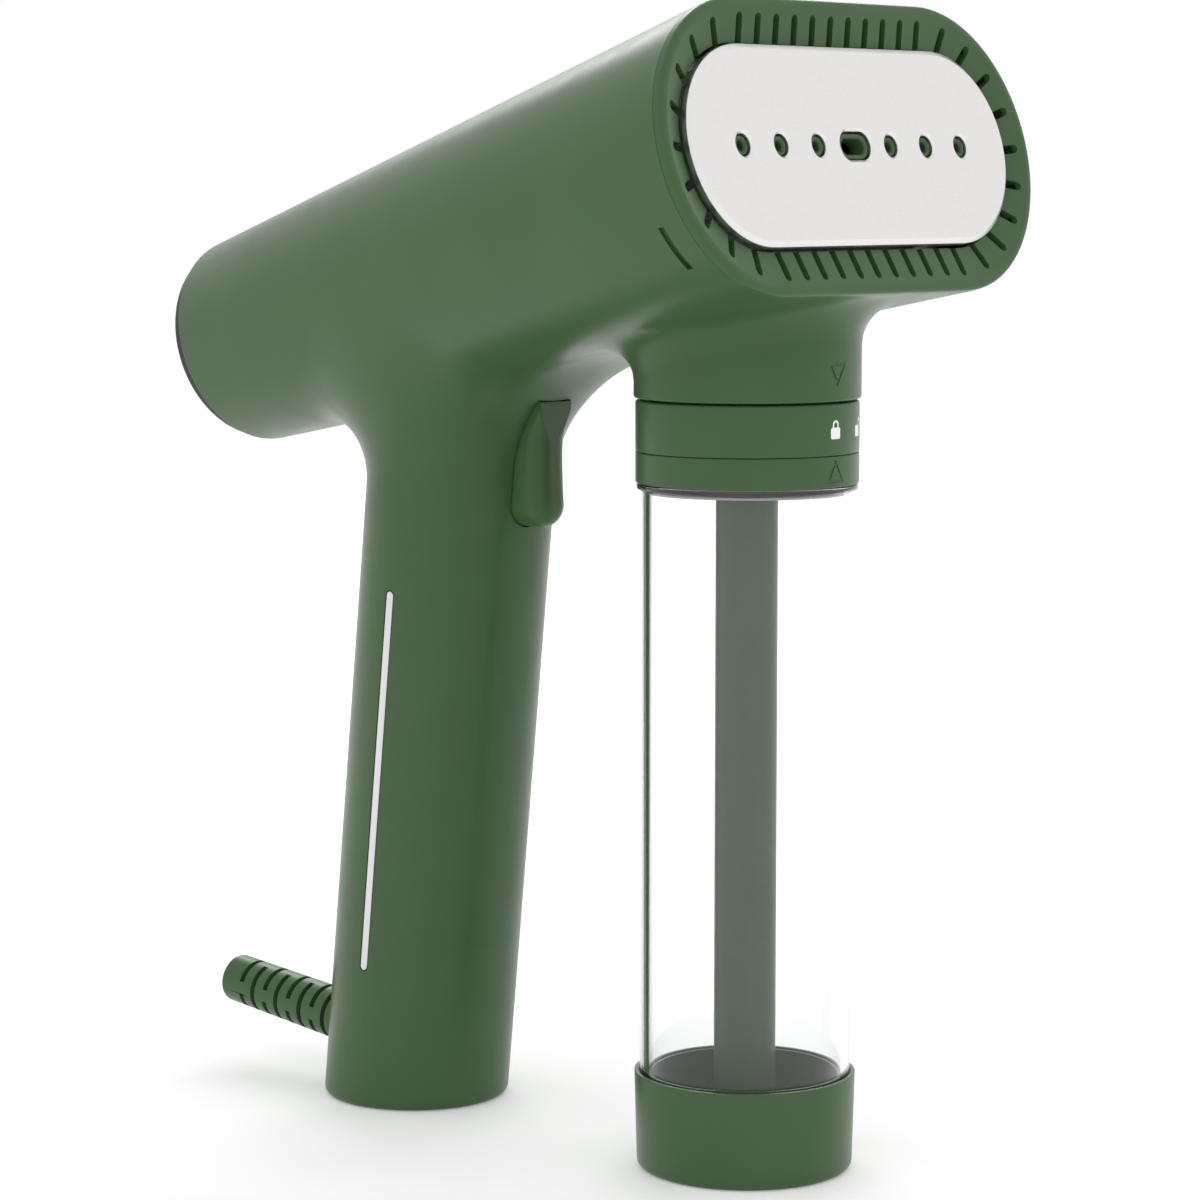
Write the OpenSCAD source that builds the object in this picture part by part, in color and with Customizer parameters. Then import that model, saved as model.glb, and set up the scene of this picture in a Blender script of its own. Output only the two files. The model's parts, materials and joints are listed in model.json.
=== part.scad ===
// Handheld garment steamer. Millimetres. +Z is up and the steam plate faces -Y.
// The origin is the centre of the water tank's base, on the surface it stands on.

/* [Barrel] */
// Width of the steam head's rim
head_w = 127.6; // [122:0.2:132]
// Height of the steam head's rim
head_h = 64.8; // [62:0.2:68]
// Length of the barrel, from the steam plate's face to its rear end
barrel_l = 195.5; // [190:0.5:205]
// Radius of the barrel's rear end
rear_r = 25.5; // [25:0.1:27]
// Upward tilt of the barrel, in degrees
barrel_tilt = 14; // [12:0.5:16]
// Thickness of the shell's wall
wall = 2.4; // [2:0.1:2.8]

/* [Steam plate] */
// Width of the steam plate
plate_w = 110.4; // [106:0.2:112]
// Height of the steam plate
plate_h = 43.9; // [42:0.1:45]
// Thickness of the steam plate
plate_t = 2.4; // [2:0.1:3]
// Distance between neighbouring steam jets
jet_pitch = 12.7; // [11:0.1:13]
// Diameter of a round steam jet
jet_d = 4.9; // [4:0.1:5.4]

/* [Handle] */
// Radius of the handle
handle_r = 22.5; // [22:0.1:24]
// Forward lean of the handle, in degrees
handle_lean = 6.1; // [4:0.1:8]
// Distance of the handle's foot behind the tank's axis
handle_y = 104.6; // [100:0.2:110]

/* [Tank] */
// Radius of the lock ring
ring_r = 25; // [24.5:0.1:25.4]
// Outer radius of the clear tube
tube_r = 23.9; // [23.5:0.1:24.1]
// Wall of the clear tube
tube_wall = 2; // [1.6:0.1:2.2]
// Height of the base cap's rim
base_h = 22.3; // [20:0.1:26]
// Height of the joint between the tank and the body
dock_z = 174.9; // [172:0.1:176]

/* [Motion] */
// Travel of the trigger, in degrees
trigger_swing = 8; // [4:1:8]
// Turn of the lock ring between its two marks, in degrees
lock_turn = 25; // [15:1:30]

/* [Hidden] */
$fn = 64;
eps = 0.01;
// Centre of the steam plate's face
face_y = -30.24;
face_z = 230.57;
// The rim lies a little below the plate's centre
rim_drop = 0.25;
// Bezel
bezel_edge = 2.2;
bezel_t = 3.4;
bezel_gap = 0.8;
bezel_skirt = 8;
slot_w = 1.7;
slot_deep = 1.6;
slot_rim = 3.4;
slots_side = 11;
slots_end = 9;
slot_pitch = 6.2;
// Shell mouth starts behind the bezel's edge
mouth = bezel_edge + 0.1;
// Steam side, as distances behind the plate's face
insert_t = 3;
gasket_t = 2;
insert_back = plate_t + insert_t;
boiler_front = insert_back + gasket_t;
boiler_back = boiler_front + 34;
boiler_w = 92;
boiler_h = 34;
flange_back = boiler_front + 6;
bracket_t = 1.6;
bracket_back = flange_back + bracket_t;
post_x = 30;
post_y = 25;
rod_r = 3.2;
rod_x = 30;
rod_depth = 27;
rod_end = boiler_back + 9;
// Water side, as distances behind the plate's face
valve_front = 56;
pump_front = 78;
pump_back = 118;
pump_r = 12;
hose_r = 2.4;
hose_bore = 1.3;
hose_low = -22.7;
hose_start = (-face_y - hose_low * sin(barrel_tilt)) / cos(barrel_tilt);
hose_end = 132;
cradle_low = -26.4;
// Rear end, as distances behind the plate's face
board_at = 185.6;
board_t = 1.6;
tact_t = 3;
panel_r = 23.4;
panel_out = 2.1;
button_r = 8;
button_out = 0.6;
button_travel = 1;
// Handle
flare_mid = 174;
flare_top = 186;
cord_height = 12.2;
relief_r = 6.4;
relief_end = 65.6;
cord_r = 3.3;
lead_x = 7.5;
strip_low = 34.5;
strip_high = 127.5;
strip_w = 2.2;
strip_y = -0.8;
// Trigger
pivot_y = 66.5;
pivot_z = 170.5;
pin_r = 1.5;
pin_l = 25.2;
trigger_w = 10.8;
trigger_low = 147.4;
trigger_gap = 0.35;
plunger_z = 151.6;
plunger_travel = (pivot_z - plunger_z) * sin(trigger_swing);
// Tank
flange_z = 154.6;
collar_low = 156;
collar_high = 163;
tube_bore = tube_r - tube_wall;
floor_z = 10;
seal_z = 8;
dish_r = 21.1;
stem_r = 7;
neck_r = 17.6;
neck_top = 180;
barb_top = 194;
ledge_z = 190;
ledge_t = 2.4;
mark_w = 6;
mark_h = 4.9;
skirt_in = 18.8;
skirt_out = 21;
lug_r = 21.8;
ring_in = 23;
body_collar_r = 25.4;
body_collar_in = 22.9;

// Frame of the head: x across, y up the plate, z out of the plate's face
module in_head() {
  translate([0, face_y, face_z]) rotate([90 - barrel_tilt, 0, 0]) children();
}

// Frame of the handle: z up along its axis
module in_handle() {
  translate([0, handle_y, 0]) rotate([handle_lean, 0, 0]) children();
}

// Frame of the strain relief: z out of the handle's back
module in_relief() {
  in_handle() translate([0, 0, cord_height]) rotate([-90, 0, 0]) children();
}

// Outline with full round ends, w across and h high
module stadium(w, h) {
  square([w - h, h], center = true);
  for (s = [-1, 1]) translate([s * (w - h) / 2, 0]) circle(d = h);
}

// Plate of that outline between two distances behind the steam plate's face
module slab(w, h, front, back) {
  translate([0, 0, -back]) linear_extrude(back - front) stadium(w, h);
}

// Round bar along the head's z between two distances behind the face
module bar(r, front, back) {
  translate([0, 0, -back]) cylinder(r = r, h = back - front);
}

// Pipe along the head's z
module pipe(r, bore, front, back) {
  difference() {
    bar(r, front, back);
    bar(bore, front - eps, back + eps);
  }
}

// Ring round the tank's axis
module tank_ring(r, bore, low, high) {
  translate([0, 0, low]) difference() {
    cylinder(r = r, h = high - low);
    translate([0, 0, -eps]) cylinder(r = bore, h = high - low + 2 * eps);
  }
}

// Seal of round section round the tank's axis
module o_ring(r, section, z) {
  translate([0, 0, z]) rotate_extrude() translate([r, 0]) circle(r = section, $fn = 24);
}

// Tapering barrel, smaller all round by inset, between two distances
module barrel_form(inset, front, back) {
  thin = 0.2;
  hull() {
    translate([0, -rim_drop, 0])
      slab(head_w - 2 * inset, head_h - 2 * inset, front, front + thin);
    bar(rear_r - inset, back - thin, back);
  }
}

// Two round discs side by side along the handle's y, the ends of one flare section
module flare_disc(r, ahead, behind, z) {
  for (y = [-ahead, behind]) translate([0, y, z]) cylinder(r = r, h = 0.2, $fn = 32);
}

// Widening of the handle into the barrel
module handle_flare(inset) {
  r = handle_r - inset;
  hull() {
    flare_disc(r, 0, 0, 150);
    flare_disc(r, 4.4, 16, flare_mid);
  }
  hull() {
    flare_disc(r, 4.4, 16, flare_mid);
    flare_disc(r, 17, 14, flare_top);
  }
}

// Helical spring, closed at both ends, as a tube swept along its helix
module coil_spring(r, wire, turns, h) {
  per_turn = 14;
  sides = 6;
  rings = turns * per_turn;
  function at(i) = let(a = 360 * i / per_turn) [r * cos(a), r * sin(a), h * i / rings];
  points = [
    for (i = [0:rings]) let(p = at(i), a = 360 * i / per_turn) for (k = [0:sides - 1])
      let(b = 360 * k / sides)
      p + wire * [cos(b) * cos(a), cos(b) * sin(a), sin(b)]
  ];
  sheet = [
    for (i = [0:rings - 1], k = [0:sides - 1])
      let(n = (k + 1) % sides, lo = i * sides, hi = lo + sides)
      [lo + k, hi + k, hi + n, lo + n]
  ];
  start = [for (k = [0:sides - 1]) k];
  finish = [for (k = [0:sides - 1]) (rings + 1) * sides - 1 - k];
  polyhedron(points, concat(sheet, [start, finish]));
}

// Socket screw pointing along -z, its head's underside at z = 0
module screw(r, length, head_r, head_h) {
  difference() {
    cylinder(r = head_r, h = head_h);
    translate([0, 0, head_h * 0.4]) cylinder(r = head_r * 0.5, h = head_h, $fn = 6);
  }
  translate([0, 0, -length]) cylinder(r = r, h = length + eps);
}

// Engraved outline of a triangle on the front of a collar of radius r, its base at height z
module arrow_mark(r, z, up) {
  deep = 0.45;
  translate([0, deep - r, z]) rotate([90, 0, 0]) linear_extrude(2) difference() {
    arrow_outline(1, up);
    translate([0, (up ? 1 : -1) * mark_h * 0.13]) arrow_outline(0.62, up);
  }
}

module arrow_outline(k, up) {
  polygon([[-k * mark_w / 2, 0], [k * mark_w / 2, 0], [0, (up ? 1 : -1) * k * mark_h]]);
}

// Room that the trigger needs in the shell
module trigger_slot() {
  depth = 30;
  half = trigger_w / 2 + trigger_gap;
  translate([0, 78, 0]) rotate([90, 0, 0]) linear_extrude(depth) {
    translate([0, trigger_low - 0.35]) circle(r = half);
    translate([-half, trigger_low - 0.35]) square([2 * half, 28.2]);
  }
}

// Groove in the barrel's side for the catch of an accessory
module catch_slot(side) {
  end_r = head_h / 2 - 1.6;
  depth = 1.4;
  in_head() translate([side * (head_w - head_h) / 2, -rim_drop, -10.4])
    rotate([0, 0, side > 0 ? -50 : -151]) rotate_extrude(angle = 21)
      translate([end_r - depth, 0]) square([depth * 3, 2]);
}

// Recess or inlay on the side of the handle, from one radius to another
module strip_bar(side, inner, outer, grow) {
  w = strip_w + 2 * grow;
  in_handle() intersection() {
    rotate([90, 0, 90 * side]) linear_extrude(outer + 5) {
      for (z = [strip_low + strip_w / 2, strip_high - strip_w / 2])
        translate([side * strip_y, z]) circle(d = w);
      translate([side * strip_y - w / 2, strip_low + strip_w / 2])
        square([w, strip_high - strip_low - strip_w]);
    }
    difference() {
      cylinder(r = outer, h = strip_high + 10);
      translate([0, 0, -eps]) cylinder(r = inner, h = strip_high + 11);
    }
  }
}

module body_shell() {
  color("darkolivegreen") difference() {
    union() {
      in_head() barrel_form(0, mouth, barrel_l);
      in_handle() translate([0, 0, -4]) cylinder(r = handle_r, h = flare_top - 10);
      in_handle() handle_flare(0);
      translate([0, 0, dock_z + 0.4]) cylinder(r = body_collar_r, h = 22);
      translate([0, 0, 188]) cylinder(r1 = body_collar_r, r2 = body_collar_r + 4, h = 8.8);
    }
    in_head() barrel_form(wall, mouth - 0.5, barrel_l + 0.5);
    in_handle() translate([0, 0, -8]) cylinder(r = handle_r - wall, h = flare_top - 10);
    in_handle() handle_flare(wall);
    translate([0, 0, dock_z]) cylinder(r = body_collar_in, h = 24);
    trigger_slot();
    for (side = [-1, 1]) strip_bar(side, handle_r - 1, handle_r + 2, 0.15);
    for (side = [-1, 1]) catch_slot(side);
    in_relief() cylinder(r = relief_r + 0.2, h = 30);
    pin_bore();
    arrow_mark(body_collar_r, 183.4, false);
    translate([-40, 60, -20]) cube([80, 90, 20]);
  }
  color("darkolivegreen") difference() {
    tank_ring(body_collar_in + 0.3, 13.5, ledge_z, ledge_z + ledge_t);
    dock_holes(1.5);
    in_head() translate([0, hose_low, 0]) bar(hose_r + 0.4, hose_start, hose_end);
  }
  color("darkolivegreen") for (side = [-1, 1]) pin_boss(side);
}

// Holes of the three screws that hold the dock under the shell's ledge
module dock_holes(r) {
  for (a = [60:120:300]) rotate([0, 0, a]) translate([17, 0, 186]) cylinder(r = r, h = 8);
}

// Boss inside the shell that holds one end of the trigger's pin
module pin_boss(side) {
  difference() {
    translate([side * 9.6, pivot_y, pivot_z]) rotate([0, 90, 0])
      cylinder(r = 3.4, h = 6.4, center = true);
    pin_bore();
  }
}

module pin_bore() {
  translate([0, pivot_y, pivot_z]) rotate([0, 90, 0])
    cylinder(r = pin_r + 0.04, h = pin_l + 0.2, center = true);
}

module front_bezel() {
  skirt_in = wall + 1.5;
  open_w = plate_w + 2 * bezel_gap;
  open_h = plate_h + 2 * bezel_gap;
  color("darkolivegreen") in_head() difference() {
    union() {
      translate([0, -rim_drop, 0]) slab(head_w, head_h, 0, bezel_edge);
      translate([0, -rim_drop, 0])
        slab(head_w - 2 * skirt_in, head_h - 2 * skirt_in, bezel_edge - eps, bezel_skirt);
    }
    hull() {
      translate([0, -rim_drop, 0]) slab(head_w - 2, head_h - 2, -0.2, 0);
      slab(open_w + 1, open_h + 1, bezel_t - 0.8, bezel_t - 0.7);
    }
    slab(open_w, open_h, 0, bezel_skirt + 1);
    difference() {
      slab(head_w - 2 * skirt_in - 3.2, head_h - 2 * skirt_in - 3.2, 5, bezel_skirt + 1);
      bezel_posts(3.2);
    }
    bezel_slots();
    for (x = [-post_x, post_x], y = [-post_y, post_y])
      translate([x, y, 0]) bar(1.2, 5, 20);
  }
  color("darkolivegreen") in_head() difference() {
    bezel_posts(3);
    for (x = [-post_x, post_x], y = [-post_y, post_y])
      translate([x, y, 0]) bar(1.2, 4.9, 20);
  }
}

module bezel_posts(r) {
  for (x = [-post_x, post_x], y = [-post_y, post_y])
    translate([x, y, 0]) bar(r, 5 - eps, flange_back);
}

// Vent grooves round the steam plate: along the straight sides and round the ends
module bezel_slots() {
  straight = (head_w - head_h) / 2;
  reach = head_h / 2 - slot_rim;
  for (i = [0:slots_side - 1], s = [-1, 1])
    translate([(i - (slots_side - 1) / 2) * slot_pitch, -rim_drop, 0])
      rotate([0, 0, s * 90]) slot_cut(reach);
  for (i = [1:slots_end], s = [0, 1])
    translate([(1 - 2 * s) * straight, -rim_drop, 0])
      rotate([0, 0, s * 180 - 90 + i * 180 / (slots_end + 1)]) slot_cut(reach);
}

module slot_cut(reach) {
  length = 12;
  translate([0, 0, -bezel_t - slot_deep + 1.2]) linear_extrude(8) {
    translate([reach - length, -slot_w / 2]) square([length - slot_w / 2, slot_w]);
    translate([reach - slot_w / 2, 0]) circle(d = slot_w);
  }
}

// Places of the six round jets
function jet_x() = [for (i = [-3:3]) if (i != 0) i * jet_pitch];

module steam_plate() {
  bevel = 0.7;
  color("gainsboro") in_head() difference() {
    union() {
      slab(plate_w, plate_h, bevel, plate_t);
      hull() {
        slab(plate_w, plate_h, bevel - eps, bevel);
        slab(plate_w - 2 * bevel, plate_h - 2 * bevel, 0, eps);
      }
    }
    for (x = jet_x()) translate([x, 0, 0]) {
      bar(jet_d / 2, -1, plate_t + 1);
      translate([0, 0, -0.4]) cylinder(r1 = jet_d / 2, r2 = jet_d / 2 + 0.5, h = 0.5);
    }
    slab(10.8, 6.4, -1, plate_t + 1);
  }
}

module nozzle_insert() {
  color("darkolivegreen") in_head() difference() {
    union() {
      slab(100, 22, plate_t, insert_back);
      for (x = jet_x()) translate([x, 0, 0]) bar(jet_d / 2 - 0.25, 1, plate_t + eps);
      slab(10.2, 5.8, 1, plate_t + eps);
    }
    for (x = jet_x()) translate([x, 0, 0]) bar(1.1, 0, insert_back + 1);
    slab(7, 3.4, 0, insert_back + 1);
  }
}

module plate_gasket() {
  color("dimgray") in_head() difference() {
    slab(96, 24, insert_back, boiler_front);
    slab(88, 16, insert_back - 1, boiler_front + 1);
  }
}

// U-shaped rod cast into the boiler, its legs leaving at the back
module rod_form() {
  translate([-rod_x, 0, -rod_depth]) rotate([0, 90, 0]) cylinder(r = rod_r, h = 2 * rod_x);
  for (x = [-rod_x, rod_x]) translate([x, 0, -rod_depth]) sphere(r = rod_r);
  for (x = [-rod_x, rod_x]) translate([x, 0, 0]) bar(rod_r, rod_depth, rod_end);
}

module boiler() {
  color("silver") in_head() difference() {
    union() {
      slab(boiler_w, boiler_h, boiler_front, boiler_back);
      slab(boiler_w + 8, boiler_h + 6, flange_back - 2, flange_back);
      bar(5, boiler_back - eps, boiler_back + 2);
    }
    slab(84, 14, boiler_front - 1, boiler_front + 8);
    bar(1.6, boiler_front + 7, boiler_back + 3);
    translate([0, -9, 0]) rod_form();
  }
}

module heating_element() {
  color("slategray") in_head() translate([0, -9, 0]) rod_form();
}

module boiler_bracket() {
  color("silver") in_head() difference() {
    slab(114, 57.5, flange_back, bracket_back);
    slab(boiler_w + 0.4, boiler_h + 0.4, flange_back - 1, bracket_back + 1);
    for (x = [-post_x, post_x], y = [-post_y, post_y])
      translate([x, y, 0]) bar(1.7, flange_back - 1, bracket_back + 1);
  }
}

module bracket_screws() {
  color("lightgray") in_head()
    for (x = [-post_x, post_x], y = [-post_y, post_y])
      translate([x, y, -bracket_back]) mirror([0, 0, 1]) screw(1.2, 8, 2.4, 1.8);
}

module heat_shield() {
  color("lightgray") in_head() difference() {
    slab(boiler_w + 6, boiler_h + 6, bracket_back, boiler_back);
    slab(boiler_w + 4.4, boiler_h + 4.4, bracket_back - 1, boiler_back + 1);
  }
}

module thermostat() {
  color("silver") in_head() translate([15, 4, 0]) {
    bar(8, boiler_back, boiler_back + 4.6);
    for (x = [-4, 4]) translate([x - 1.5, -0.4, -boiler_back - 12]) cube([3, 0.8, 7.4]);
  }
}

module thermal_fuse() {
  r = 2;
  color("white") in_head() translate([-24, 7, -boiler_back - r]) {
    rotate([0, 90, 0]) cylinder(r = r, h = 12);
    for (x = [-5, 12]) translate([x, 0, 0]) rotate([0, 90, 0]) cylinder(r = 0.5, h = 5);
  }
}

module delivery_hose() {
  color("white") in_head() {
    pipe(hose_r, hose_bore, boiler_back + 2, valve_front);
    pipe(hose_r, hose_bore, valve_front + 12, pump_front);
  }
}

module check_valve() {
  color("whitesmoke") in_head() pipe(4, hose_bore, valve_front, valve_front + 12);
}

module pump() {
  color("dimgray") in_head() {
    pipe(pump_r, 2, pump_front, pump_back);
    pipe(4, 2, pump_back - eps, pump_back + 8);
  }
}

module pump_cradle() {
  half = 16;
  color("darkgray") in_head() for (d = [pump_front + 6, pump_front + 20]) difference() {
    translate([-half, cradle_low, -d - 4]) cube([2 * half, 2 - cradle_low, 4]);
    bar(pump_r + 0.05, d - 1, d + 5);
    translate([0, hose_low, 0]) bar(hose_r + 0.3, d - 1, d + 5);
  }
}

// Suction hose: up from the dock, back under the pump, and round into its rear inlet
module suction_hose() {
  y0 = hose_low;
  elbow_z = face_z - hose_start * sin(barrel_tilt) + hose_low * cos(barrel_tilt);
  color("white") difference() {
    translate([0, 0, barb_top]) cylinder(r = hose_r, h = elbow_z - barb_top - 0.3);
    translate([0, 0, barb_top - 1]) cylinder(r = hose_bore, h = 6);
  }
  color("white") in_head() difference() {
    union() {
      translate([0, y0, 0]) bar(hose_r, hose_start, hose_end);
      for (d = [hose_start, hose_end]) translate([0, y0, -d]) sphere(r = hose_r);
      translate([0, y0, -hose_end]) rotate([-90, 0, 0]) cylinder(r = hose_r, h = -y0);
      translate([0, 0, -hose_end]) sphere(r = hose_r);
      bar(hose_r, pump_back + 8, hose_end);
    }
    translate([0, y0, 0]) bar(hose_bore, hose_start - 1, hose_end);
    translate([0, y0, -hose_end]) rotate([-90, 0, 0]) cylinder(r = hose_bore, h = -y0);
    bar(hose_bore, pump_back + 7, hose_end);
  }
}

module tank_dock() {
  color("darkslategray") difference() {
    union() {
      tank_ring(body_collar_in, 4, 187, ledge_z);
      tank_ring(skirt_out, skirt_in, 167, 187 + eps);
      tank_ring(4.1, hose_bore, 172, 190);
      tank_ring(hose_r, hose_bore, 190 - eps, barb_top);
      for (a = [0:120:240]) rotate([0, 0, a + 30]) rotate_extrude(angle = 24)
        translate([skirt_out - eps, 168]) square([lug_r - skirt_out, 2.4]);
    }
    dock_holes(1.3);
  }
}

module dock_screws() {
  top = ledge_z + ledge_t;
  color("lightgray") for (a = [60:120:300]) rotate([0, 0, a])
    translate([17, 0, top]) screw(1.3, top - 187, 2.4, 1.6);
}

module spigot_seal() {
  color("dimgray") o_ring(4.6, 0.5, 174.5);
}

module rear_panel() {
  color("black") in_head() difference() {
    union() {
      bar(panel_r + 0.6, barrel_l, barrel_l + panel_out);
      bar(rear_r - wall - 0.3, barrel_l - 5, barrel_l + eps);
    }
    bar(rear_r - wall - 2.4, barrel_l - 6, barrel_l - 0.8);
    bar(button_r + 0.3, barrel_l - 2, barrel_l + 4);
    translate([0, 15, 0]) bar(1.2, barrel_l - 2, barrel_l + 4);
  }
}

module power_button() {
  top = barrel_l + panel_out + button_out;
  color("dimgray") in_head() {
    bar(button_r, barrel_l - 1.1, top);
    bar(button_r + 1.4, barrel_l - 2.2, barrel_l - 1.1);
    bar(1.5, board_at + board_t + tact_t + button_travel + 0.2, barrel_l - 2);
  }
}

module button_spring() {
  low = board_at + board_t;
  color("silver") in_head() translate([0, 0, 2.6 - barrel_l])
    coil_spring(5, 0.35, 3, barrel_l - low - 3);
}

module indicator_lens() {
  color("white") in_head() translate([0, 15, 0]) bar(1.1, barrel_l - 0.8, barrel_l + panel_out + 0.1);
}

module control_board() {
  color("seagreen") in_head() {
    difference() {
      translate([-15, -14, -board_at - board_t]) cube([30, 28, board_t]);
      for (x = [-11.5, 11.5]) translate([x, -11, 0]) bar(1.1, board_at - 1, board_at + 3);
    }
    translate([-3, -3, -board_at - board_t - tact_t]) cube([6, 6, tact_t + eps]);
    translate([-11, 2, -board_at]) cube([9, 9, 7]);
    translate([3, -9, -board_at]) cube([7, 14, 5]);
  }
}

module board_screws() {
  color("lightgray") in_head() for (x = [-11.5, 11.5])
    translate([x, -11, -board_at - board_t]) mirror([0, 0, 1]) screw(1.1, 6, 2, 1.2);
}

// Insulated leads up the handle and along the top of the barrel
module inner_wiring() {
  r = 2;
  color("gray") {
    in_handle() translate([lead_x, 9, 32]) cylinder(r = r, h = 187);
    in_head() translate([lead_x, 17.8, 0]) bar(r, boiler_back + 14, board_at - 8);
  }
}

module terminal_block() {
  color("ivory") in_handle() difference() {
    translate([-9, 3, 22]) cube([18, 11, 10]);
    for (x = [-5.5, 0, 5.5]) translate([x, 8.5, 27]) rotate([90, 0, 0])
      cylinder(r = 1.2, h = 8);
  }
}

// Side outline of the trigger, as circles given by y, z and radius
function trigger_knots() = [
  [62.1, 147.2, 4.4], [60.5, 171.2, 3], [pivot_y, pivot_z, 4], [70, 148, 2.4]
];

module trigger() {
  color("darkolivegreen") difference() {
    intersection() {
      rotate([90, 0, 90]) translate([0, 0, -trigger_w / 2]) linear_extrude(trigger_w)
        hull() for (k = trigger_knots()) translate([k[0], k[1]]) circle(r = k[2]);
      translate([0, 78, 0]) rotate([90, 0, 0]) linear_extrude(30) {
        translate([0, trigger_low]) circle(d = trigger_w);
        translate([-trigger_w / 2, trigger_low]) square([trigger_w, 30]);
      }
    }
    translate([-8, pivot_y, pivot_z]) rotate([0, 90, 0]) cylinder(r = pin_r + 0.05, h = 16);
    translate([0, 68.4, 160]) rotate([-90, 0, 0]) cylinder(r = 2.9, h = 8);
  }
}

module trigger_pin() {
  color("silver") translate([0, pivot_y, pivot_z]) rotate([0, 90, 0])
    cylinder(r = pin_r, h = pin_l, center = true);
}

module trigger_spring() {
  color("silver") translate([0, 68.9, 160]) rotate([-90, 0, 0]) coil_spring(2, 0.3, 5, 7.6);
}

module trigger_switch() {
  color("dimgray") difference() {
    translate([-3.2, 77, 145]) cube([6.4, 10, 22]);
    translate([-1.6, 76, plunger_z - 1.6]) cube([3.2, plunger_travel + 3.4, 3.2]);
  }
}

module switch_plunger() {
  color("crimson") translate([-1.3, 72.7, plunger_z - 1.3]) cube([2.6, 5.9, 2.6]);
}

module handle_strip_left() {
  color("silver") strip_bar(-1, handle_r - 1, handle_r + 0.12, 0);
}

module handle_strip_right() {
  color("silver") strip_bar(1, handle_r - 1, handle_r + 0.12, 0);
}

module handle_end_cap() {
  color("darkslategray") difference() {
    in_handle() translate([0, 0, -6]) cylinder(r = handle_r - wall - 0.15, h = 9.5);
    translate([-40, 60, -20]) cube([80, 90, 20.3]);
  }
}

// Flexible sleeve of the mains lead, with staggered slots between its rings
module strain_relief() {
  slots = 8;
  pitch = 4.28;
  first = relief_end - 8.2 - (slots - 1) * pitch;
  core = 4.7;
  color("darkolivegreen") in_relief() difference() {
    union() {
      translate([0, 0, 12.6]) cylinder(r = 8, h = 2.6);
      translate([0, 0, 15]) cylinder(r1 = relief_r, r2 = relief_r - 0.4, h = relief_end - 15);
    }
    translate([0, 0, 10]) cylinder(r = cord_r, h = relief_end);
    for (i = [0:slots - 1], s = [0, 180])
      translate([0, 0, first + i * pitch]) rotate([0, 0, s + 90 * ((i + 1) % 2) + 15])
        rotate_extrude(angle = 150) translate([core, 0]) square([3, 1.5]);
  }
}

// Two halves that grip the mains lead behind the strain relief
module cord_clamp() {
  color("dimgray") in_handle() difference() {
    translate([-11, 1, 5]) cube([22, 8, 12]);
    translate([0, 0, cord_height]) rotate([-90, 0, 0]) cylinder(r = cord_r, h = 10);
    translate([-12, 0, cord_height - 0.3]) cube([24, 10, 0.6]);
    for (x = [-8, 8]) translate([x, 5, 7]) cylinder(r = 1.2, h = 12);
  }
}

module clamp_screws() {
  color("lightgray") in_handle() for (x = [-8, 8])
    translate([x, 5, 17]) screw(1.2, 9, 2.2, 1.5);
}

module lock_ring() {
  color("darkolivegreen") {
    tank_ring(ring_r, ring_in, collar_high + 0.1, dock_z - 0.6);
    for (a = [0:120:240]) rotate([0, 0, a + 30]) translate([0, 0, 171])
      rotate_extrude(angle = 24) translate([lug_r + 0.3, 0])
        square([ring_in - lug_r - 0.2, 2.4]);
  }
}

// Outline of a padlock on its base line, its shackle closed or swung open
module padlock(open) {
  w = 3.2;
  h = 2.5;
  bow = 1;
  line = 0.4;
  translate([-w / 2, 0]) square([w, h]);
  translate([open ? w - bow - line : 0, h + 0.6]) {
    difference() {
      circle(r = bow, $fn = 32);
      circle(r = bow - line, $fn = 32);
      translate([-2, -4]) square([4, 4]);
    }
    translate([-bow, -0.7]) square([line, 0.7]);
    if (!open) translate([bow - line, -0.7]) square([line, 0.7]);
  }
}

module lock_marks() {
  proud = 0.12;
  color("white") for (a = [0, lock_turn]) rotate([0, 0, a]) intersection() {
    translate([0, -ring_r + 1, 166.8]) rotate([90, 0, 0])
      linear_extrude(3) padlock(a > 0);
    tank_ring(ring_r + proud, ring_r, 160, 176);
  }
}

module tank_collar() {
  color("darkolivegreen") difference() {
    union() {
      tank_ring(ring_r, neck_r + 0.2, collar_low, collar_high);
      tank_ring(ring_in - 0.25, ring_in - 0.85, collar_high - eps, collar_high + 3);
    }
    arrow_mark(ring_r, 157.2, true);
  }
}

module tank_stopper() {
  color("darkslategray") difference() {
    union() {
      translate([0, 0, collar_low - 1.4]) cylinder(r = tube_bore - 0.1, h = 1.4);
      translate([0, 0, collar_low - eps]) cylinder(r = neck_r, h = neck_top - collar_low);
    }
    translate([0, 0, 168]) cylinder(r = 5.4, h = 20);
    translate([0, 0, collar_low - 5]) cylinder(r = stem_r + 0.05, h = 9);
    translate([0, 0, 150]) cylinder(r = 2, h = 30);
    translate([11, 0, 150]) cylinder(r = 1.2, h = 40);
    translate([0, 0, neck_top - 5]) rotate_extrude() translate([neck_r - 0.9, 0])
      square([2, 2]);
  }
}

module vent_valve() {
  color("whitesmoke") translate([11, 0, neck_top]) cylinder(r = 2.2, h = 1);
}

module neck_seal() {
  color("dimgray") o_ring(neck_r, 0.85, neck_top - 4);
}

module tank_tube() {
  color("lightcyan", 0.4) union() {
    tank_ring(tube_r, tube_bore, 6, flange_z + eps);
    tank_ring(ring_r - 0.2, tube_bore, flange_z, collar_low);
  }
}

module tube_top_seal() {
  color("dimgray") tank_ring(tube_bore - 0.1, tube_bore - 2, collar_low - 2.2, collar_low - 1.4);
}

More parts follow.
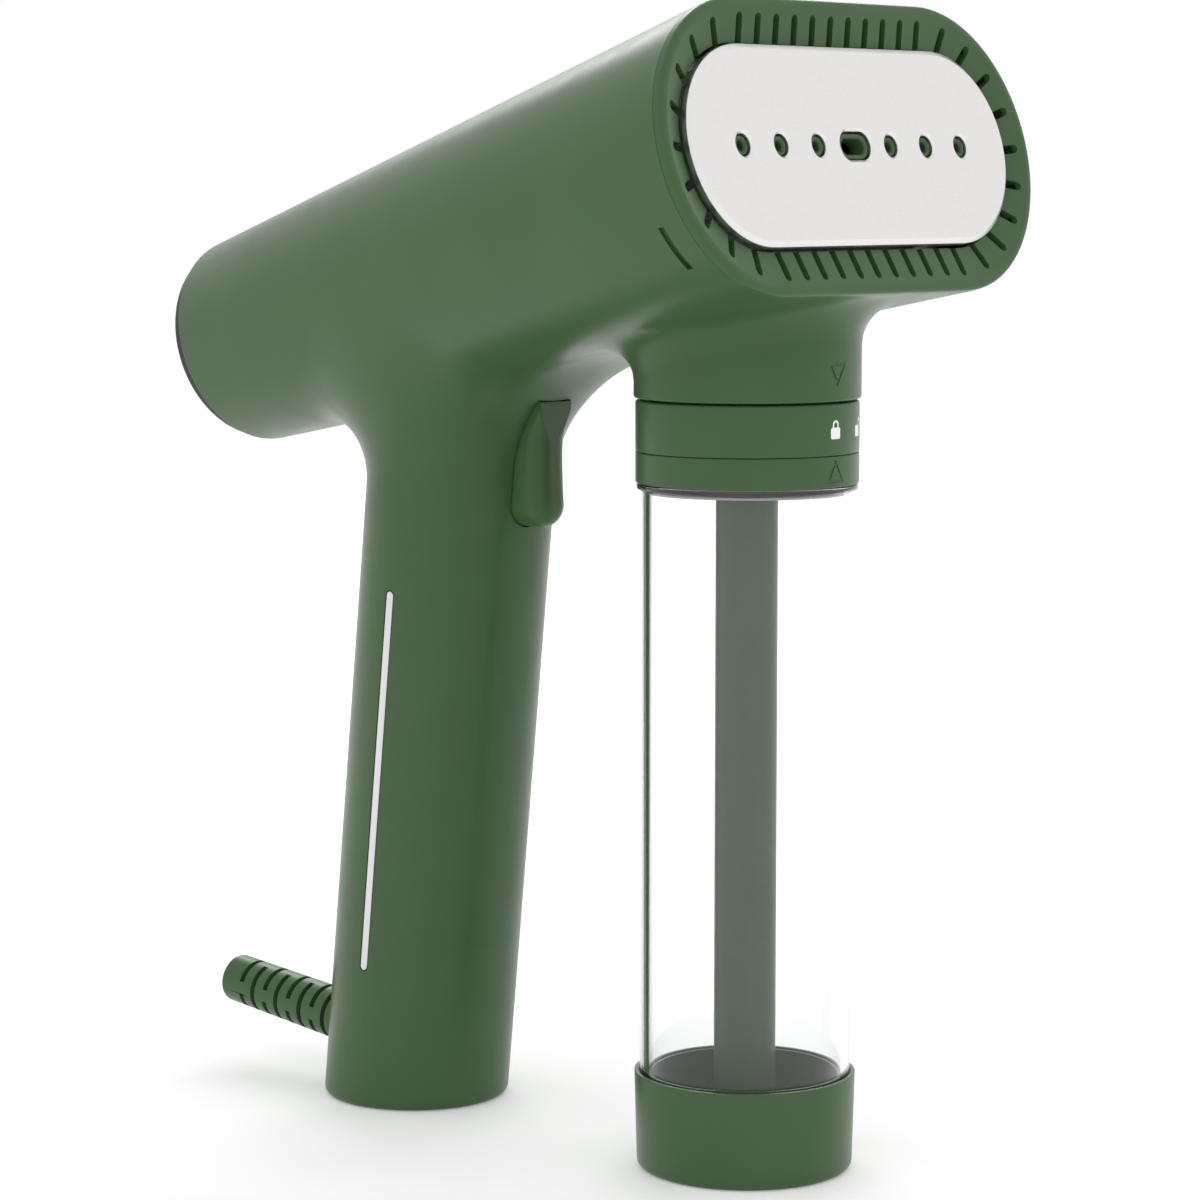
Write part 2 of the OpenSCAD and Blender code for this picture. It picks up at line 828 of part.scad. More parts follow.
module pickup_stem() {
  color("darkolivegreen") difference() {
    translate([0, 0, floor_z]) cylinder(r = stem_r, h = collar_low + 4 - floor_z);
    translate([0, 0, floor_z + 2]) cylinder(r = 2, h = 150);
    for (a = [0, 90]) rotate([90, 0, a]) translate([0, floor_z + 3.4, -10])
      cylinder(r = 1.2, h = 20);
  }
}

module tank_base_cap() {
  skin = 1.1;
  color("darkolivegreen") difference() {
    union() {
      translate([0, 0, 2]) cylinder(r1 = ring_r - 0.4, r2 = ring_r + 0.06, h = base_h - 2);
      cylinder(r1 = ring_r - 1.9, r2 = ring_r - 0.4, h = 2);
    }
    tank_ring(tube_r + 0.02, tube_bore - 0.02, 6, base_h + 1);
    translate([0, 0, floor_z]) cylinder(r = dish_r, h = base_h);
    translate([0, 0, -1]) cylinder(r = tube_bore - skin, h = 4);
    translate([0, 0, 2.9]) cylinder(r = tube_bore - 4, h = floor_z - 5.4);
    tank_ring(tube_bore + 0.5, tube_bore - 1.7, seal_z - 0.9, seal_z + 0.9);
  }
}

module base_seal() {
  color("dimgray") o_ring(tube_bore - 0.85, 0.78, seal_z);
}

module base_foot() {
  color("dimgray") cylinder(r = tube_bore - 1.2, h = 2.9);
}

body_shell();
front_bezel();
steam_plate();
nozzle_insert();
plate_gasket();
boiler();
heating_element();
boiler_bracket();
bracket_screws();
heat_shield();
thermostat();
thermal_fuse();
delivery_hose();
check_valve();
pump();
pump_cradle();
suction_hose();
tank_dock();
dock_screws();
spigot_seal();
rear_panel();
power_button();
button_spring();
indicator_lens();
control_board();
board_screws();
inner_wiring();
terminal_block();
trigger();
trigger_pin();
trigger_spring();
trigger_switch();
switch_plunger();
handle_strip_left();
handle_strip_right();
handle_end_cap();
strain_relief();
cord_clamp();
clamp_screws();
lock_ring();
lock_marks();
tank_collar();
tank_stopper();
vent_valve();
neck_seal();
tank_tube();
tube_top_seal();
pickup_stem();
tank_base_cap();
base_seal();
base_foot();
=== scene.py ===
"""Handheld garment steamer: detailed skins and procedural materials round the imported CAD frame.

Lengths are in millimetres and turn into metres when a mesh is made. The row frame has +Z up and the
steam plate facing -Y. HEAD, HANDLE and RELIEF are the local frames that the parts are drawn in.
"""
import json
import math

import bmesh
import bpy
import numpy as np
import openvdb
from mathutils import Matrix, Vector


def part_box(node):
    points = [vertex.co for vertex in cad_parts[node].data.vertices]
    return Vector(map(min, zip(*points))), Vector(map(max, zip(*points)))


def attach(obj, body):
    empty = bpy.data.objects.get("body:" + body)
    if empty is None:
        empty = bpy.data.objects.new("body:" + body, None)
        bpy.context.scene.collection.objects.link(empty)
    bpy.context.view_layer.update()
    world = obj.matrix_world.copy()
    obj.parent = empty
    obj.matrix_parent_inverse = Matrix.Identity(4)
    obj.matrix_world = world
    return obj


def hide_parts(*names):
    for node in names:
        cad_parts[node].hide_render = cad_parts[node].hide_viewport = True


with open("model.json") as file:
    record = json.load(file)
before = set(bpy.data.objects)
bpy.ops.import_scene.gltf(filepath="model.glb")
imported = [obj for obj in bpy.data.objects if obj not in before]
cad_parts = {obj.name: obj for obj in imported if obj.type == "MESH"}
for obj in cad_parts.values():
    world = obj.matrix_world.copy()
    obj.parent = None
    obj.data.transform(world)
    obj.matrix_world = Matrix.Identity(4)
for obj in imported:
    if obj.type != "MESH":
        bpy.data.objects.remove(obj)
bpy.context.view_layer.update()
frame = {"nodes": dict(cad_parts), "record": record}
scene = bpy.context.scene
record = frame["record"]
MM = 0.001
TAU = 2 * math.pi


# ---------------------------------------------------------------- places taken from the frame
def span(node):
    """Lowest and highest corner of a CAD node, in millimetres."""
    lo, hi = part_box(node)
    return np.array(lo) / MM, np.array(hi) / MM


def mount(name):
    """Position in millimetres and unit axis of a mount of the record."""
    m = next(m for m in record["mounts"] if m["name"] == name)
    return np.array(m["pos_m"]) / MM, np.array(m["axis"], float)


def local_frame(origin, z_axis):
    """Matrix, in millimetres, of a frame whose x is the row's x."""
    x = Vector((1, 0, 0))
    z = Vector(z_axis).normalized()
    y = z.cross(x)
    m = Matrix((x, y, z)).transposed().to_4x4()
    m.translation = Vector(origin)
    return m


FACE_MOUNT = np.array([20.0, 12.0, 0.0])  # where steam_face lies on the plate, from its centre
RELIEF_REACH = 55.6                       # from the handle's axis to the cord_entry mount
CORD_HEIGHT = 12.2                        # height of the strain relief up the handle

face_pos, face_axis = mount("steam_face")
HEAD = local_frame((0, 0, 0), face_axis)
HEAD.translation = Vector(face_pos) - HEAD.to_3x3() @ Vector(FACE_MOUNT)
cord_pos, cord_axis = mount("cord_entry")
lean = math.atan2(cord_axis[2], cord_axis[1])
handle_up = Vector((0, -math.sin(lean), math.cos(lean)))
HANDLE = local_frame((0, 0, 0), handle_up)
HANDLE.translation = Vector(cord_pos) - HANDLE.to_3x3() @ Vector((0, RELIEF_REACH, CORD_HEIGHT))
RELIEF = HANDLE @ Matrix.Translation((0, 0, CORD_HEIGHT)) @ Matrix.Rotation(-math.pi / 2, 4, "X")
ROW = Matrix.Identity(4)

# Driving sizes, as in the CAD
HEAD_W = span("front_bezel")[1][0] * 2   # width of the steam head
HEAD_R = 32.4                            # radius of the head's round ends
RIM_DROP = 0.25                          # how far the rim's axis lies below the plate's
BARREL_L = 195.5                         # from the plate's face to the barrel's rear end
REAR_R = 25.5                            # radius of the barrel's rear end
WALL = 2.4
HANDLE_R = 22.5
COLLAR_R = 25.4                          # body collar above the tank
MOUTH = 2.3                              # depth of the shell's front edge behind the plate's face
BEZEL_EDGE = 2.2                         # depth of the bezel's outer edge
PLATE_W = span("steam_plate")[1][0] * 2
PLATE_R = 21.95
PLATE_T = 2.4
JET_PITCH = 12.7
JET_R = 2.45
OBLONG_HALF = 2.2                        # half the straight length of the oblong jet
RING_R = 25.0                            # lock ring and tank collar
TUBE_R = 23.9
BORE_R = 21.9
STEM_R = 7.0
DOCK_Z = span("lock_ring")[1][2] + 0.5   # lower edge of the body collar


# ---------------------------------------------------------------- materials
class Nodes:
    """A material's node tree, with short calls to add nodes and link them."""

    def __init__(self, name):
        self.material = bpy.data.materials.new(name)
        self.material.use_nodes = True
        self.tree = self.material.node_tree
        self.shader = self.tree.nodes["Principled BSDF"]

    def add(self, kind, links=None, **settings):
        node = self.tree.nodes.new(kind)
        for key, value in settings.items():
            setattr(node, key, value)
        for key, source in (links or {}).items():
            self.tree.links.new(source, node.inputs[key])
        return node

    def noise(self, scale, detail=3.0, stretch=(1, 1, 1)):
        """Noise in object space; stretch draws it out along an axis."""
        coords = self.add("ShaderNodeTexCoord")
        place = self.add("ShaderNodeMapping", {"Vector": coords.outputs["Object"]})
        place.inputs["Scale"].default_value = stretch
        texture = self.add("ShaderNodeTexNoise", {"Vector": place.outputs["Vector"]})
        texture.inputs["Scale"].default_value = scale
        texture.inputs["Detail"].default_value = detail
        return texture.outputs["Fac"]

    def spread(self, factor, low, high):
        """The noise's middle range, turned into low to high."""
        node = self.add("ShaderNodeMapRange", {"Value": factor})
        node.inputs["From Min"].default_value = 0.3
        node.inputs["From Max"].default_value = 0.7
        node.inputs["To Min"].default_value = low
        node.inputs["To Max"].default_value = high
        return node.outputs["Result"]

    def shades(self, factor, dark, light):
        """Colour between two shades."""
        ramp = self.add("ShaderNodeValToRGB", {"Fac": factor})
        ramp.color_ramp.elements[0].position = 0.3
        ramp.color_ramp.elements[1].position = 0.7
        ramp.color_ramp.elements[0].color = (*dark, 1)
        ramp.color_ramp.elements[1].color = (*light, 1)
        return ramp.outputs["Color"]

    def bump(self, *layers):
        """Bumps from (height, metres) pairs, one over the other."""
        normal = None
        for height, depth in layers:
            node = self.add("ShaderNodeBump", {"Height": height})
            node.inputs["Distance"].default_value = depth
            if normal is not None:
                self.tree.links.new(normal, node.inputs["Normal"])
            normal = node.outputs["Normal"]
        self.tree.links.new(normal, self.shader.inputs["Normal"])

    def feed(self, name, source):
        self.tree.links.new(source, self.shader.inputs[name])

    def set(self, **values):
        for key, value in values.items():
            self.shader.inputs[key].default_value = value


def scaled(colour, k):
    """A lighter or darker shade of a colour."""
    return tuple(min(1.0, c * k) for c in colour)


def plastic(name, colour, rough, grain=2200, depth=0.00001, **extra):
    """Moulded plastic: faint shade drift, a fine texture from the tool, and uneven gloss."""
    m = Nodes(name)
    m.feed("Base Color", m.shades(m.noise(45, 4), scaled(colour, 0.965), scaled(colour, 1.035)))
    m.feed("Roughness", m.spread(m.noise(160, 5), rough - 0.025, rough + 0.025))
    m.bump((m.noise(grain, 2), depth), (m.noise(90, 1), depth * 2))
    m.set(**extra)
    return m.material


def metal(name, colour, rough, stretch=(1, 1, 1), depth=0.000006, grain=900):
    """Metal with a grain; stretch makes it brushed along one axis."""
    m = Nodes(name)
    m.feed("Base Color", m.shades(m.noise(grain, 3, stretch), scaled(colour, 0.96), colour))
    m.feed("Roughness", m.spread(m.noise(grain * 0.7, 4, stretch), rough - 0.05, rough + 0.05))
    m.bump((m.noise(grain * 1.3, 3, stretch), depth))
    m.set(Metallic=1.0)
    return m.material


def clear_plastic(name):
    """Clear moulded tube: the faintest waviness and haze."""
    m = Nodes(name)
    m.feed("Roughness", m.spread(m.noise(300, 3), 0.0, 0.012))
    m.bump((m.noise(14, 1), 0.000004))
    m.set(**{"Transmission Weight": 1.0, "IOR": 1.46, "Base Color": (0.985, 0.992, 0.99, 1)})
    return m.material


def circuit_board(name):
    """Solder resist over copper tracks."""
    m = Nodes(name)
    tracks = m.add("ShaderNodeTexVoronoi", feature="DISTANCE_TO_EDGE")
    tracks.inputs["Scale"].default_value = 420
    lines = m.spread(tracks.outputs["Distance"], 1.0, 0.0)
    m.feed("Base Color", m.shades(lines, (0.012, 0.13, 0.05), (0.03, 0.24, 0.09)))
    m.feed("Roughness", m.spread(m.noise(300), 0.3, 0.4))
    m.bump((lines, 0.00003))
    return m.material


GREEN = (0.051, 0.104, 0.042)
MATERIALS = {
    "green_plastic": plastic("green_plastic", GREEN, 0.33, **{"Specular IOR Level": 0.25}),
    "dark_plastic": plastic("dark_plastic", (0.022, 0.027, 0.022), 0.48),
    "black_gloss": plastic("black_gloss", (0.012, 0.012, 0.013), 0.18, depth=0.000003),
    "plate_metal": metal("plate_metal", (0.80, 0.79, 0.785), 0.34, (0.3, 1, 1), 0.000001, 2600),
    "strip_metal": metal("strip_metal", (0.72, 0.71, 0.73), 0.36, grain=2400),
    "cast_aluminium": metal("cast_aluminium", (0.62, 0.62, 0.63), 0.5, depth=0.00004, grain=500),
    "steel": metal("steel", (0.62, 0.62, 0.62), 0.3, (0.1, 1, 1)),
    "clear_tube": clear_plastic("clear_tube"),
    "silicone": plastic("silicone", (0.5, 0.5, 0.48), 0.55),
    "white_plastic": plastic("white_plastic", (0.82, 0.82, 0.8), 0.4),
    "white_print": plastic("white_print", (0.88, 0.89, 0.88), 0.5, grain=5000),
    "board_green": circuit_board("board_green"),
    "red_plastic": plastic("red_plastic", (0.5, 0.03, 0.02), 0.35),
}
node_slot = {s["node"]: s["material_slot"] for s in record["subparts"]}
node_body = {n: b for b, ns in record["behaviour"]["bodies"].items() for n in ns}
for name, part in frame["nodes"].items():
    part.data.materials.clear()
    part.data.materials.append(MATERIALS[node_slot[name]])


# ---------------------------------------------------------------- mesh tools
def piece(name, verts, faces, place=ROW, smooth=32):
    """A new object from points in millimetres, shaded smooth across edges flatter than smooth."""
    data = bpy.data.meshes.new(name)
    world = [(place @ Vector(v)) * MM for v in verts]
    data.from_pydata(world, [], [list(f) for f in faces])
    bm = bmesh.new()
    bm.from_mesh(data)
    bmesh.ops.remove_doubles(bm, verts=bm.verts, dist=1e-8)
    bmesh.ops.dissolve_degenerate(bm, edges=bm.edges, dist=1e-8)
    bmesh.ops.recalc_face_normals(bm, faces=bm.faces)
    bm.to_mesh(data)
    bm.free()
    made = bpy.data.objects.new(name, data)
    scene.collection.objects.link(made)
    shade(made, smooth)
    return made


def shade(obj, smooth=32):
    """Smooth shading, with edges sharper than smooth degrees left sharp."""
    obj.data.shade_smooth()
    obj.data.set_sharp_from_angle(angle=math.radians(smooth))


def stand_for(obj, *nodes):
    """obj takes the place of CAD nodes: their body, material slot and finish."""
    slot = node_slot[nodes[0]]
    obj.data.materials.clear()
    obj.data.materials.append(MATERIALS[slot])
    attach(obj, node_body[nodes[0]])
    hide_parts(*nodes)
    return obj


def rounded(corners, steps=5):
    """Closed outline from (x, y, radius) corners, each rounded by an arc."""
    points = []
    count = len(corners)
    for i, (x, y, r) in enumerate(corners):
        here = Vector((x, y))
        if r <= 0:
            points.append((x, y))
            continue
        before = (Vector(corners[i - 1][:2]) - here).normalized()
        after = (Vector(corners[(i + 1) % count][:2]) - here).normalized()
        half = before.angle(after) / 2
        reach = r / math.tan(half)
        points += arc_between(here + before * reach, here, here + after * reach, half, steps)
    return points


def arc_between(start, corner, end, half_angle, steps):
    """Points of the circular arc that touches two lines at start and end."""
    weight = math.sin(half_angle)
    points = []
    for k in range(steps + 1):
        u = k / steps
        parts = (1 - u) ** 2, 2 * u * (1 - u) * weight, u * u
        points.append((start * parts[0] + corner * parts[1] + end * parts[2]) / sum(parts))
    return [tuple(p) for p in points]


def lathe(name, corners, place=ROW, segments=180, steps=5, smooth=32, sweep=TAU):
    """Solid of revolution about z from a closed (radius, z, rounding) outline."""
    outline = rounded(corners, steps)
    full = abs(sweep - TAU) < 1e-6
    turns = segments if full else segments + 1
    rows = len(outline)
    verts = []
    for i in range(turns):
        a = sweep * i / segments
        verts += [(r * math.cos(a), r * math.sin(a), z) for r, z in outline]
    faces = []
    for i in range(segments):
        j = (i + 1) % turns
        for k in range(rows):
            n = (k + 1) % rows
            faces.append((i * rows + k, j * rows + k, j * rows + n, i * rows + n))
    if not full:
        faces.append(tuple(range(rows)))
        faces.append(tuple(reversed(range(segments * rows, (segments + 1) * rows))))
    return piece(name, verts, faces, place, smooth)


def stadium(half, r, drop=0.0, arc=40, straight=24):
    """Points round a stadium outline, counter-clockwise from its lower right."""
    points = []
    for side, start in ((1, -90), (-1, 90)):
        for k in range(arc):
            a = math.radians(start + 180 * k / arc)
            points.append((side * half + r * math.cos(a), r * math.sin(a) - drop))
        for k in range(straight):
            u = k / straight
            points.append((side * half * (1 - 2 * u), side * r - drop))
    return points


def loft(name, rows, place=HEAD, closed=True, smooth=32):
    """Skin through stadium rows (half, radius, drop, depth behind the face)."""
    rings = [[(x, y, -w) for x, y in stadium(h, r, drop)] for h, r, drop, w in rows]
    n = len(rings[0])
    verts = [p for ring in rings for p in ring]
    faces = []
    last = len(rings) if closed else len(rings) - 1
    for k in range(last):
        a, b = k * n, (k + 1) % len(rings) * n
        faces += [(a + i, a + (i + 1) % n, b + (i + 1) % n, b + i) for i in range(n)]
    if not closed:
        faces.append(tuple(range(n)))
        faces.append(tuple(reversed(range((len(rings) - 1) * n, len(rings) * n))))
    return piece(name, verts, faces, place, smooth)


def prism(name, outline, low, high, place=ROW):
    """Straight prism on a closed outline, between two heights."""
    n = len(outline)
    verts = [(x, y, low) for x, y in outline] + [(x, y, high) for x, y in outline]
    faces = [tuple(reversed(range(n))), tuple(range(n, 2 * n))]
    faces += [(i, (i + 1) % n, n + (i + 1) % n, n + i) for i in range(n)]
    return piece(name, verts, faces, place)


def join(name, objects):
    """One object holding the meshes of several."""
    bm = bmesh.new()
    for o in objects:
        bm.from_mesh(o.data)
    data = bpy.data.meshes.new(name)
    bm.to_mesh(data)
    bm.free()
    for o in objects:
        bpy.data.objects.remove(o)
    made = bpy.data.objects.new(name, data)
    scene.collection.objects.link(made)
    return made


def carve(obj, cutters, smooth=32):
    """Cuts the solids in cutters out of obj."""
    tool = join(obj.name + "_tool", cutters)
    step = obj.modifiers.new("carve", "BOOLEAN")
    step.operation = "DIFFERENCE"
    step.solver = "EXACT"
    step.object = tool
    graph = bpy.context.evaluated_depsgraph_get()
    data = bpy.data.meshes.new_from_object(obj.evaluated_get(graph))
    obj.modifiers.clear()
    obj.data = data
    bpy.data.objects.remove(tool)
    shade(obj, smooth)
    return obj


def skin_normals(obj, field, reach=0.03):
    """Gives the faces that lie on a smooth surface that surface's own normals."""
    data = obj.data
    count = len(data.loops)
    verts = np.zeros(len(data.vertices) * 3, np.float32)
    data.vertices.foreach_get("co", verts)
    verts = verts.reshape(-1, 3).astype(float) / MM
    corner = np.zeros(count, np.int32)
    data.loops.foreach_get("vertex_index", corner)
    normals = np.zeros(count * 3, np.float32)
    data.corner_normals.foreach_get("vector", normals)
    normals = normals.reshape(-1, 3)
    flat = np.zeros(len(data.polygons) * 3, np.float32)
    data.polygons.foreach_get("normal", flat)
    sizes = np.zeros(len(data.polygons), np.int32)
    data.polygons.foreach_get("loop_total", sizes)
    flat = np.repeat(flat.reshape(-1, 3), sizes, axis=0)
    slope = gradient(field, verts)
    slope /= np.linalg.norm(slope, axis=1)[:, None] + 1e-12
    on_skin = np.abs(field(verts)) < reach
    use = on_skin[corner] & ((slope[corner] * flat).sum(1) > 0.8)
    normals[use] = slope[corner][use]
    data.normals_split_custom_set([tuple(n) for n in normals])


# ---------------------------------------------------------------- smooth skins from distance fields
def gradient(field, points, h=0.05):
    """Slope of a field at each point, by central differences."""
    steps = np.eye(3) * h
    return np.stack([field(points + s) - field(points - s) for s in steps], 1) / (2 * h)


def settle(points, field, rounds=4):
    """Moves points onto the field's zero surface."""
    for _ in range(rounds):
        g = gradient(field, points)
        points = points - field(points)[:, None] * g / ((g * g).sum(1)[:, None] + 1e-9)
    return points


def skin(field, low, high, step):
    """Even quads over the field's zero surface, as points in millimetres and faces."""
    low = np.array(low, float)
    band = step * 3
    counts = [int(math.ceil((b - a) / step)) + 1 for a, b in zip(low, high)]
    axes = [low[i] + step * np.arange(counts[i]) for i in range(3)]
    cells = np.stack(np.meshgrid(*axes, indexing="ij"), -1).reshape(-1, 3)
    values = field(cells).reshape(counts).astype(np.float32)
    grid = openvdb.FloatGrid(background=float(band))
    grid.copyFromArray(np.clip(values, -band, band))
    points, quads = grid.convertToQuads(isovalue=0.0)
    points = settle(points.astype(float) * step + low, field)
    a, b, c = (points[quads[:, i]] for i in range(3))
    normal = np.cross(b - a, c - a)
    if (normal * gradient(field, (a + c) / 2)).sum(1).mean() < 0:
        quads = quads[:, ::-1]
    return points, quads


def to_local(place):
    """Function that takes row points, in millimetres, into a local frame."""
    inverse = np.array(place.inverted())
    return lambda p: p @ inverse[:3, :3].T + inverse[:3, 3]


in_head, in_handle = to_local(HEAD), to_local(HANDLE)


def barrel_field(p):
    """Stadium at the head, tapering to a circle at the rear end."""
    q = in_head(p)
    t = (-q[:, 2] - MOUTH) / (BARREL_L - MOUTH)
    half = np.maximum((HEAD_W / 2 - HEAD_R) * (1 - t), 0)
    radius = HEAD_R + (REAR_R - HEAD_R) * t
    x = q[:, 0] - np.clip(q[:, 0], -half, half)
    y = q[:, 1] + RIM_DROP * (1 - t)
    side = np.abs(x) / (np.hypot(x, y) + 1e-9)
    taper = ((HEAD_R - REAR_R) + side * (HEAD_W / 2 - HEAD_R)) / (BARREL_L - MOUTH)
    return (np.hypot(x, y) - radius) / np.sqrt(1 + taper**2)


def handle_field(p):
    q = in_handle(p)
    return np.hypot(q[:, 0], q[:, 1]) - HANDLE_R


def collar_field(p):
    return np.hypot(p[:, 0], p[:, 1]) - COLLAR_R


def fillet(a, b, r):
    """Union of two fields with a round fillet between them."""
    return np.maximum(r, np.minimum(a, b)) - np.hypot(np.maximum(r - a, 0), np.maximum(r - b, 0))


FILLET_FRONT = 21.3     # between barrel and handle, on the handle's front
FILLET_REAR = 17.4      # and on its back
FILLET_COLLAR = 8.0
COLLAR_TOP = 215.0      # both ends lie inside the barrel
HANDLE_TOP = 190.0


def shell_field(p):
    """Barrel, handle and tank collar in one skin, its fillets wider at the handle's front."""
    barrel = barrel_field(p)
    q = in_handle(p)
    ahead = np.clip(0.5 - q[:, 1] / (2 * HANDLE_R), 0, 1)
    handle = np.maximum(handle_field(p), q[:, 2] - HANDLE_TOP)
    body = fillet(barrel, handle, FILLET_REAR + (FILLET_FRONT - FILLET_REAR) * ahead)
    collar = np.maximum(collar_field(p), p[:, 2] - COLLAR_TOP)
    return fillet(body, collar, FILLET_COLLAR)


# ---------------------------------------------------------------- body shell
def boundary_loop(bm, chosen):
    """Open edges among the chosen points, as pairs directed for the next row of faces."""
    pairs = []
    for e in bm.edges:
        if e.is_boundary and e.verts[0] in chosen and e.verts[1] in chosen:
            loop = e.link_loops[0]
            pairs.append((loop.link_loop_next.vert, loop.vert))
    return pairs


def trim(bm, field, point, normal, back, near, step):
    """Cuts the skin square at a plane set back a little, and returns its open edges."""
    weld, merge, on_plane = 0.4 * step, 0.35 * step, 0.3 * step
    plane = Vector(point) - Vector(normal) * back
    normal = Vector(normal)
    verts = [v for v in bm.verts if near(v.co)]
    chosen = set(verts)
    edges = [e for e in bm.edges if e.verts[0] in chosen and e.verts[1] in chosen]
    faces = [f for f in bm.faces if all(v in chosen for v in f.verts)]
    bmesh.ops.bisect_plane(bm, geom=verts + edges + faces, dist=1e-4, plane_co=plane,
                           plane_no=normal, clear_outer=True)
    rim = [v for v in bm.verts if v.is_boundary and near(v.co)
           and abs((v.co - plane).dot(normal)) < 1e-3]
    close = [v for v in bm.verts if near(v.co) and (v.co - plane).dot(normal) > -2 * step]
    doubles = bmesh.ops.find_doubles(bm, verts=close, keep_verts=rim, dist=weld)
    bmesh.ops.weld_verts(bm, targetmap=doubles["targetmap"])
    bmesh.ops.remove_doubles(bm, verts=[v for v in rim if v.is_valid], dist=merge)
    rim = [v for v in bm.verts if v.is_boundary and near(v.co)
           and abs((v.co - plane).dot(normal)) < on_plane]
    points = np.array([v.co for v in rim], float)
    flat = np.array(normal, float)
    for _ in range(6):
        points = settle(points, field, 1)
        points -= ((points - np.array(plane)) @ flat)[:, None] * flat
    for v, p in zip(rim, points):
        v.co = Vector(p)
    return boundary_loop(bm, set(rim))


def add_row(bm, pairs, place):
    """One more row of faces past an open edge; place gives each point's new position."""
    made = {}
    for a, b in pairs:
        for v in (a, b):
            if v not in made:
                made[v] = bm.verts.new(place(v))
        bm.faces.new((a, b, made[b], made[a]))
    return [(made[a], made[b]) for a, b in pairs], made


def turn_edge(bm, field, pairs, point, normal, steps=4):
    """Rounds the skin's end over onto a plane."""
    normal = Vector(normal)
    verts = list({v for pair in pairs for v in pair})
    slope = gradient(field, np.array([v.co for v in verts], float))
    arcs = {}
    for v, g in zip(verts, slope):
        n = Vector(g).normalized()
        along = (normal - n * normal.dot(n)).normalized()
        corner = v.co + along * ((Vector(point) - v.co).dot(normal) / along.dot(normal))
        inward = -(n - normal * normal.dot(n)).normalized()
        end = corner + inward * (corner - v.co).length
        half = (v.co - corner).angle(end - corner) / 2
        arcs[v] = arc_between(v.co.copy(), corner, end, half, steps)
    source = {v: v for v in verts}
    for k in range(1, steps + 1):
        pairs, made = add_row(bm, pairs, lambda v: Vector(arcs[source[v]][k]))
        source = {made[v]: source[v] for v in made}
    return pairs


SKIN_LOW, SKIN_HIGH = (-70, -46, -9), (70, 172, 268)  # space that holds the whole shell
NEAR_END = 12           # points this close to an open end belong to it
BARREL_LOW = 100.0      # the barrel lies above this height, and the handle's foot below it
COLLAR_LOW = DOCK_Z + 0.15


def behind_face(co):
    """Depth of a point behind the plate's face, along the barrel."""
    return -(HEAD.inverted() @ co).z


def shell_openings():
    """The four open ends: a point, its outward normal, the edge's radius and what is near it."""
    face = HEAD.translation
    out = HEAD.to_3x3() @ Vector((0, 0, 1))
    down = Vector((0, 0, -1))

    def near_mouth(co):
        return behind_face(co) < MOUTH + NEAR_END

    def near_rear(co):
        return behind_face(co) > BARREL_L - NEAR_END and co.z > BARREL_LOW

    def near_foot(co):
        return co.z < NEAR_END

    def near_collar(co):
        return co.z < DOCK_Z + 7 and math.hypot(co.x, co.y) < COLLAR_R + 3

    return [
        (face - out * MOUTH, out, 0.12, near_mouth),
        (face - out * BARREL_L, -out, 0.7, near_rear),
        (Vector((0, 0, 0)), down, 2.0, near_foot),
        (Vector((0, 0, COLLAR_LOW)), down, 0.55, near_collar),
    ]


def cut_short(field):
    """The field, ended a few millimetres past each opening."""
    never, past_barrel, past_foot, collar_reach = -99, 5, 6, 45

    def limited(p):
        along = in_head(p)[:, 2]
        ends = np.maximum(-along - BARREL_L - past_barrel, along - past_barrel)
        ends = np.where(p[:, 2] > BARREL_LOW, ends, never)
        ends = np.maximum(-past_foot - p[:, 2], ends)
        under_collar = np.hypot(p[:, 0], p[:, 1]) < collar_reach
        hanging = np.where(under_collar, DOCK_Z - past_foot - p[:, 2], never)
        return np.maximum(np.maximum(field(p), ends), hanging)

    return limited


def inner_field(p):
    return shell_field(p) + WALL


def open_skin(field, round_ends, step):
    """Skin of a field with its four ends cut open, and the edge of each opening."""
    points, quads = skin(cut_short(field), SKIN_LOW, SKIN_HIGH, step)
    bm = bmesh.new()
    verts = [bm.verts.new(p) for p in points]
    for q in quads:
        bm.faces.new([verts[i] for i in q])
    loops = []
    for point, normal, r, near in shell_openings():
        pairs = trim(bm, field, point, normal, r if round_ends else 0.0, near, step)
        if round_ends:
            pairs = turn_edge(bm, field, pairs, point, normal)
        loops.append(pairs)
    return bm, loops


def build_shell():
    """Outer and inner skins of the body, joined round their four openings, then carved."""
    step = 1.7
    bm, outer_loops = open_skin(shell_field, True, step)
    inner, inner_loops = open_skin(inner_field, False, step)
    lookup = {v: bm.verts.new(v.co) for v in inner.verts}
    for f in inner.faces:
        bm.faces.new([lookup[v] for v in reversed(f.verts)])
    for pairs, inside in zip(outer_loops, inner_loops):
        edges = [bm.edges.get(p) for p in pairs]
        edges += [bm.edges.get((lookup[a], lookup[b])) for a, b in inside]
        bmesh.ops.bridge_loops(bm, edges=[e for e in edges if e])
    bmesh.ops.recalc_face_normals(bm, faces=bm.faces)
    for v in bm.verts:
        v.co *= MM
    data = bpy.data.meshes.new("shell_skin")
    bm.to_mesh(data)
    bm.free()
    inner.free()
    shell = bpy.data.objects.new("shell_skin", data)
    scene.collection.objects.link(shell)
    shade(shell)
    carve(shell, shell_cutters(), 30)
    skin_normals(shell, shell_field)
    return stand_for(shell, "body_shell")


TRIGGER_HALF = 5.4      # half the trigger's width
TRIGGER_LOW = 147.4     # centre of its half-round foot
TRIGGER_GAP = 0.3       # to the slot's sides
TRIGGER_TOP = 171.8


def front_outline(half, low, top, steps=14):
    """Front outline of the trigger: straight sides and a half-round foot."""
    foot = [(half * math.cos(a), low + half * math.sin(a))
            for a in np.linspace(math.pi, TAU, 2 * steps + 1)]
    return foot + [(half, top), (-half, top)]


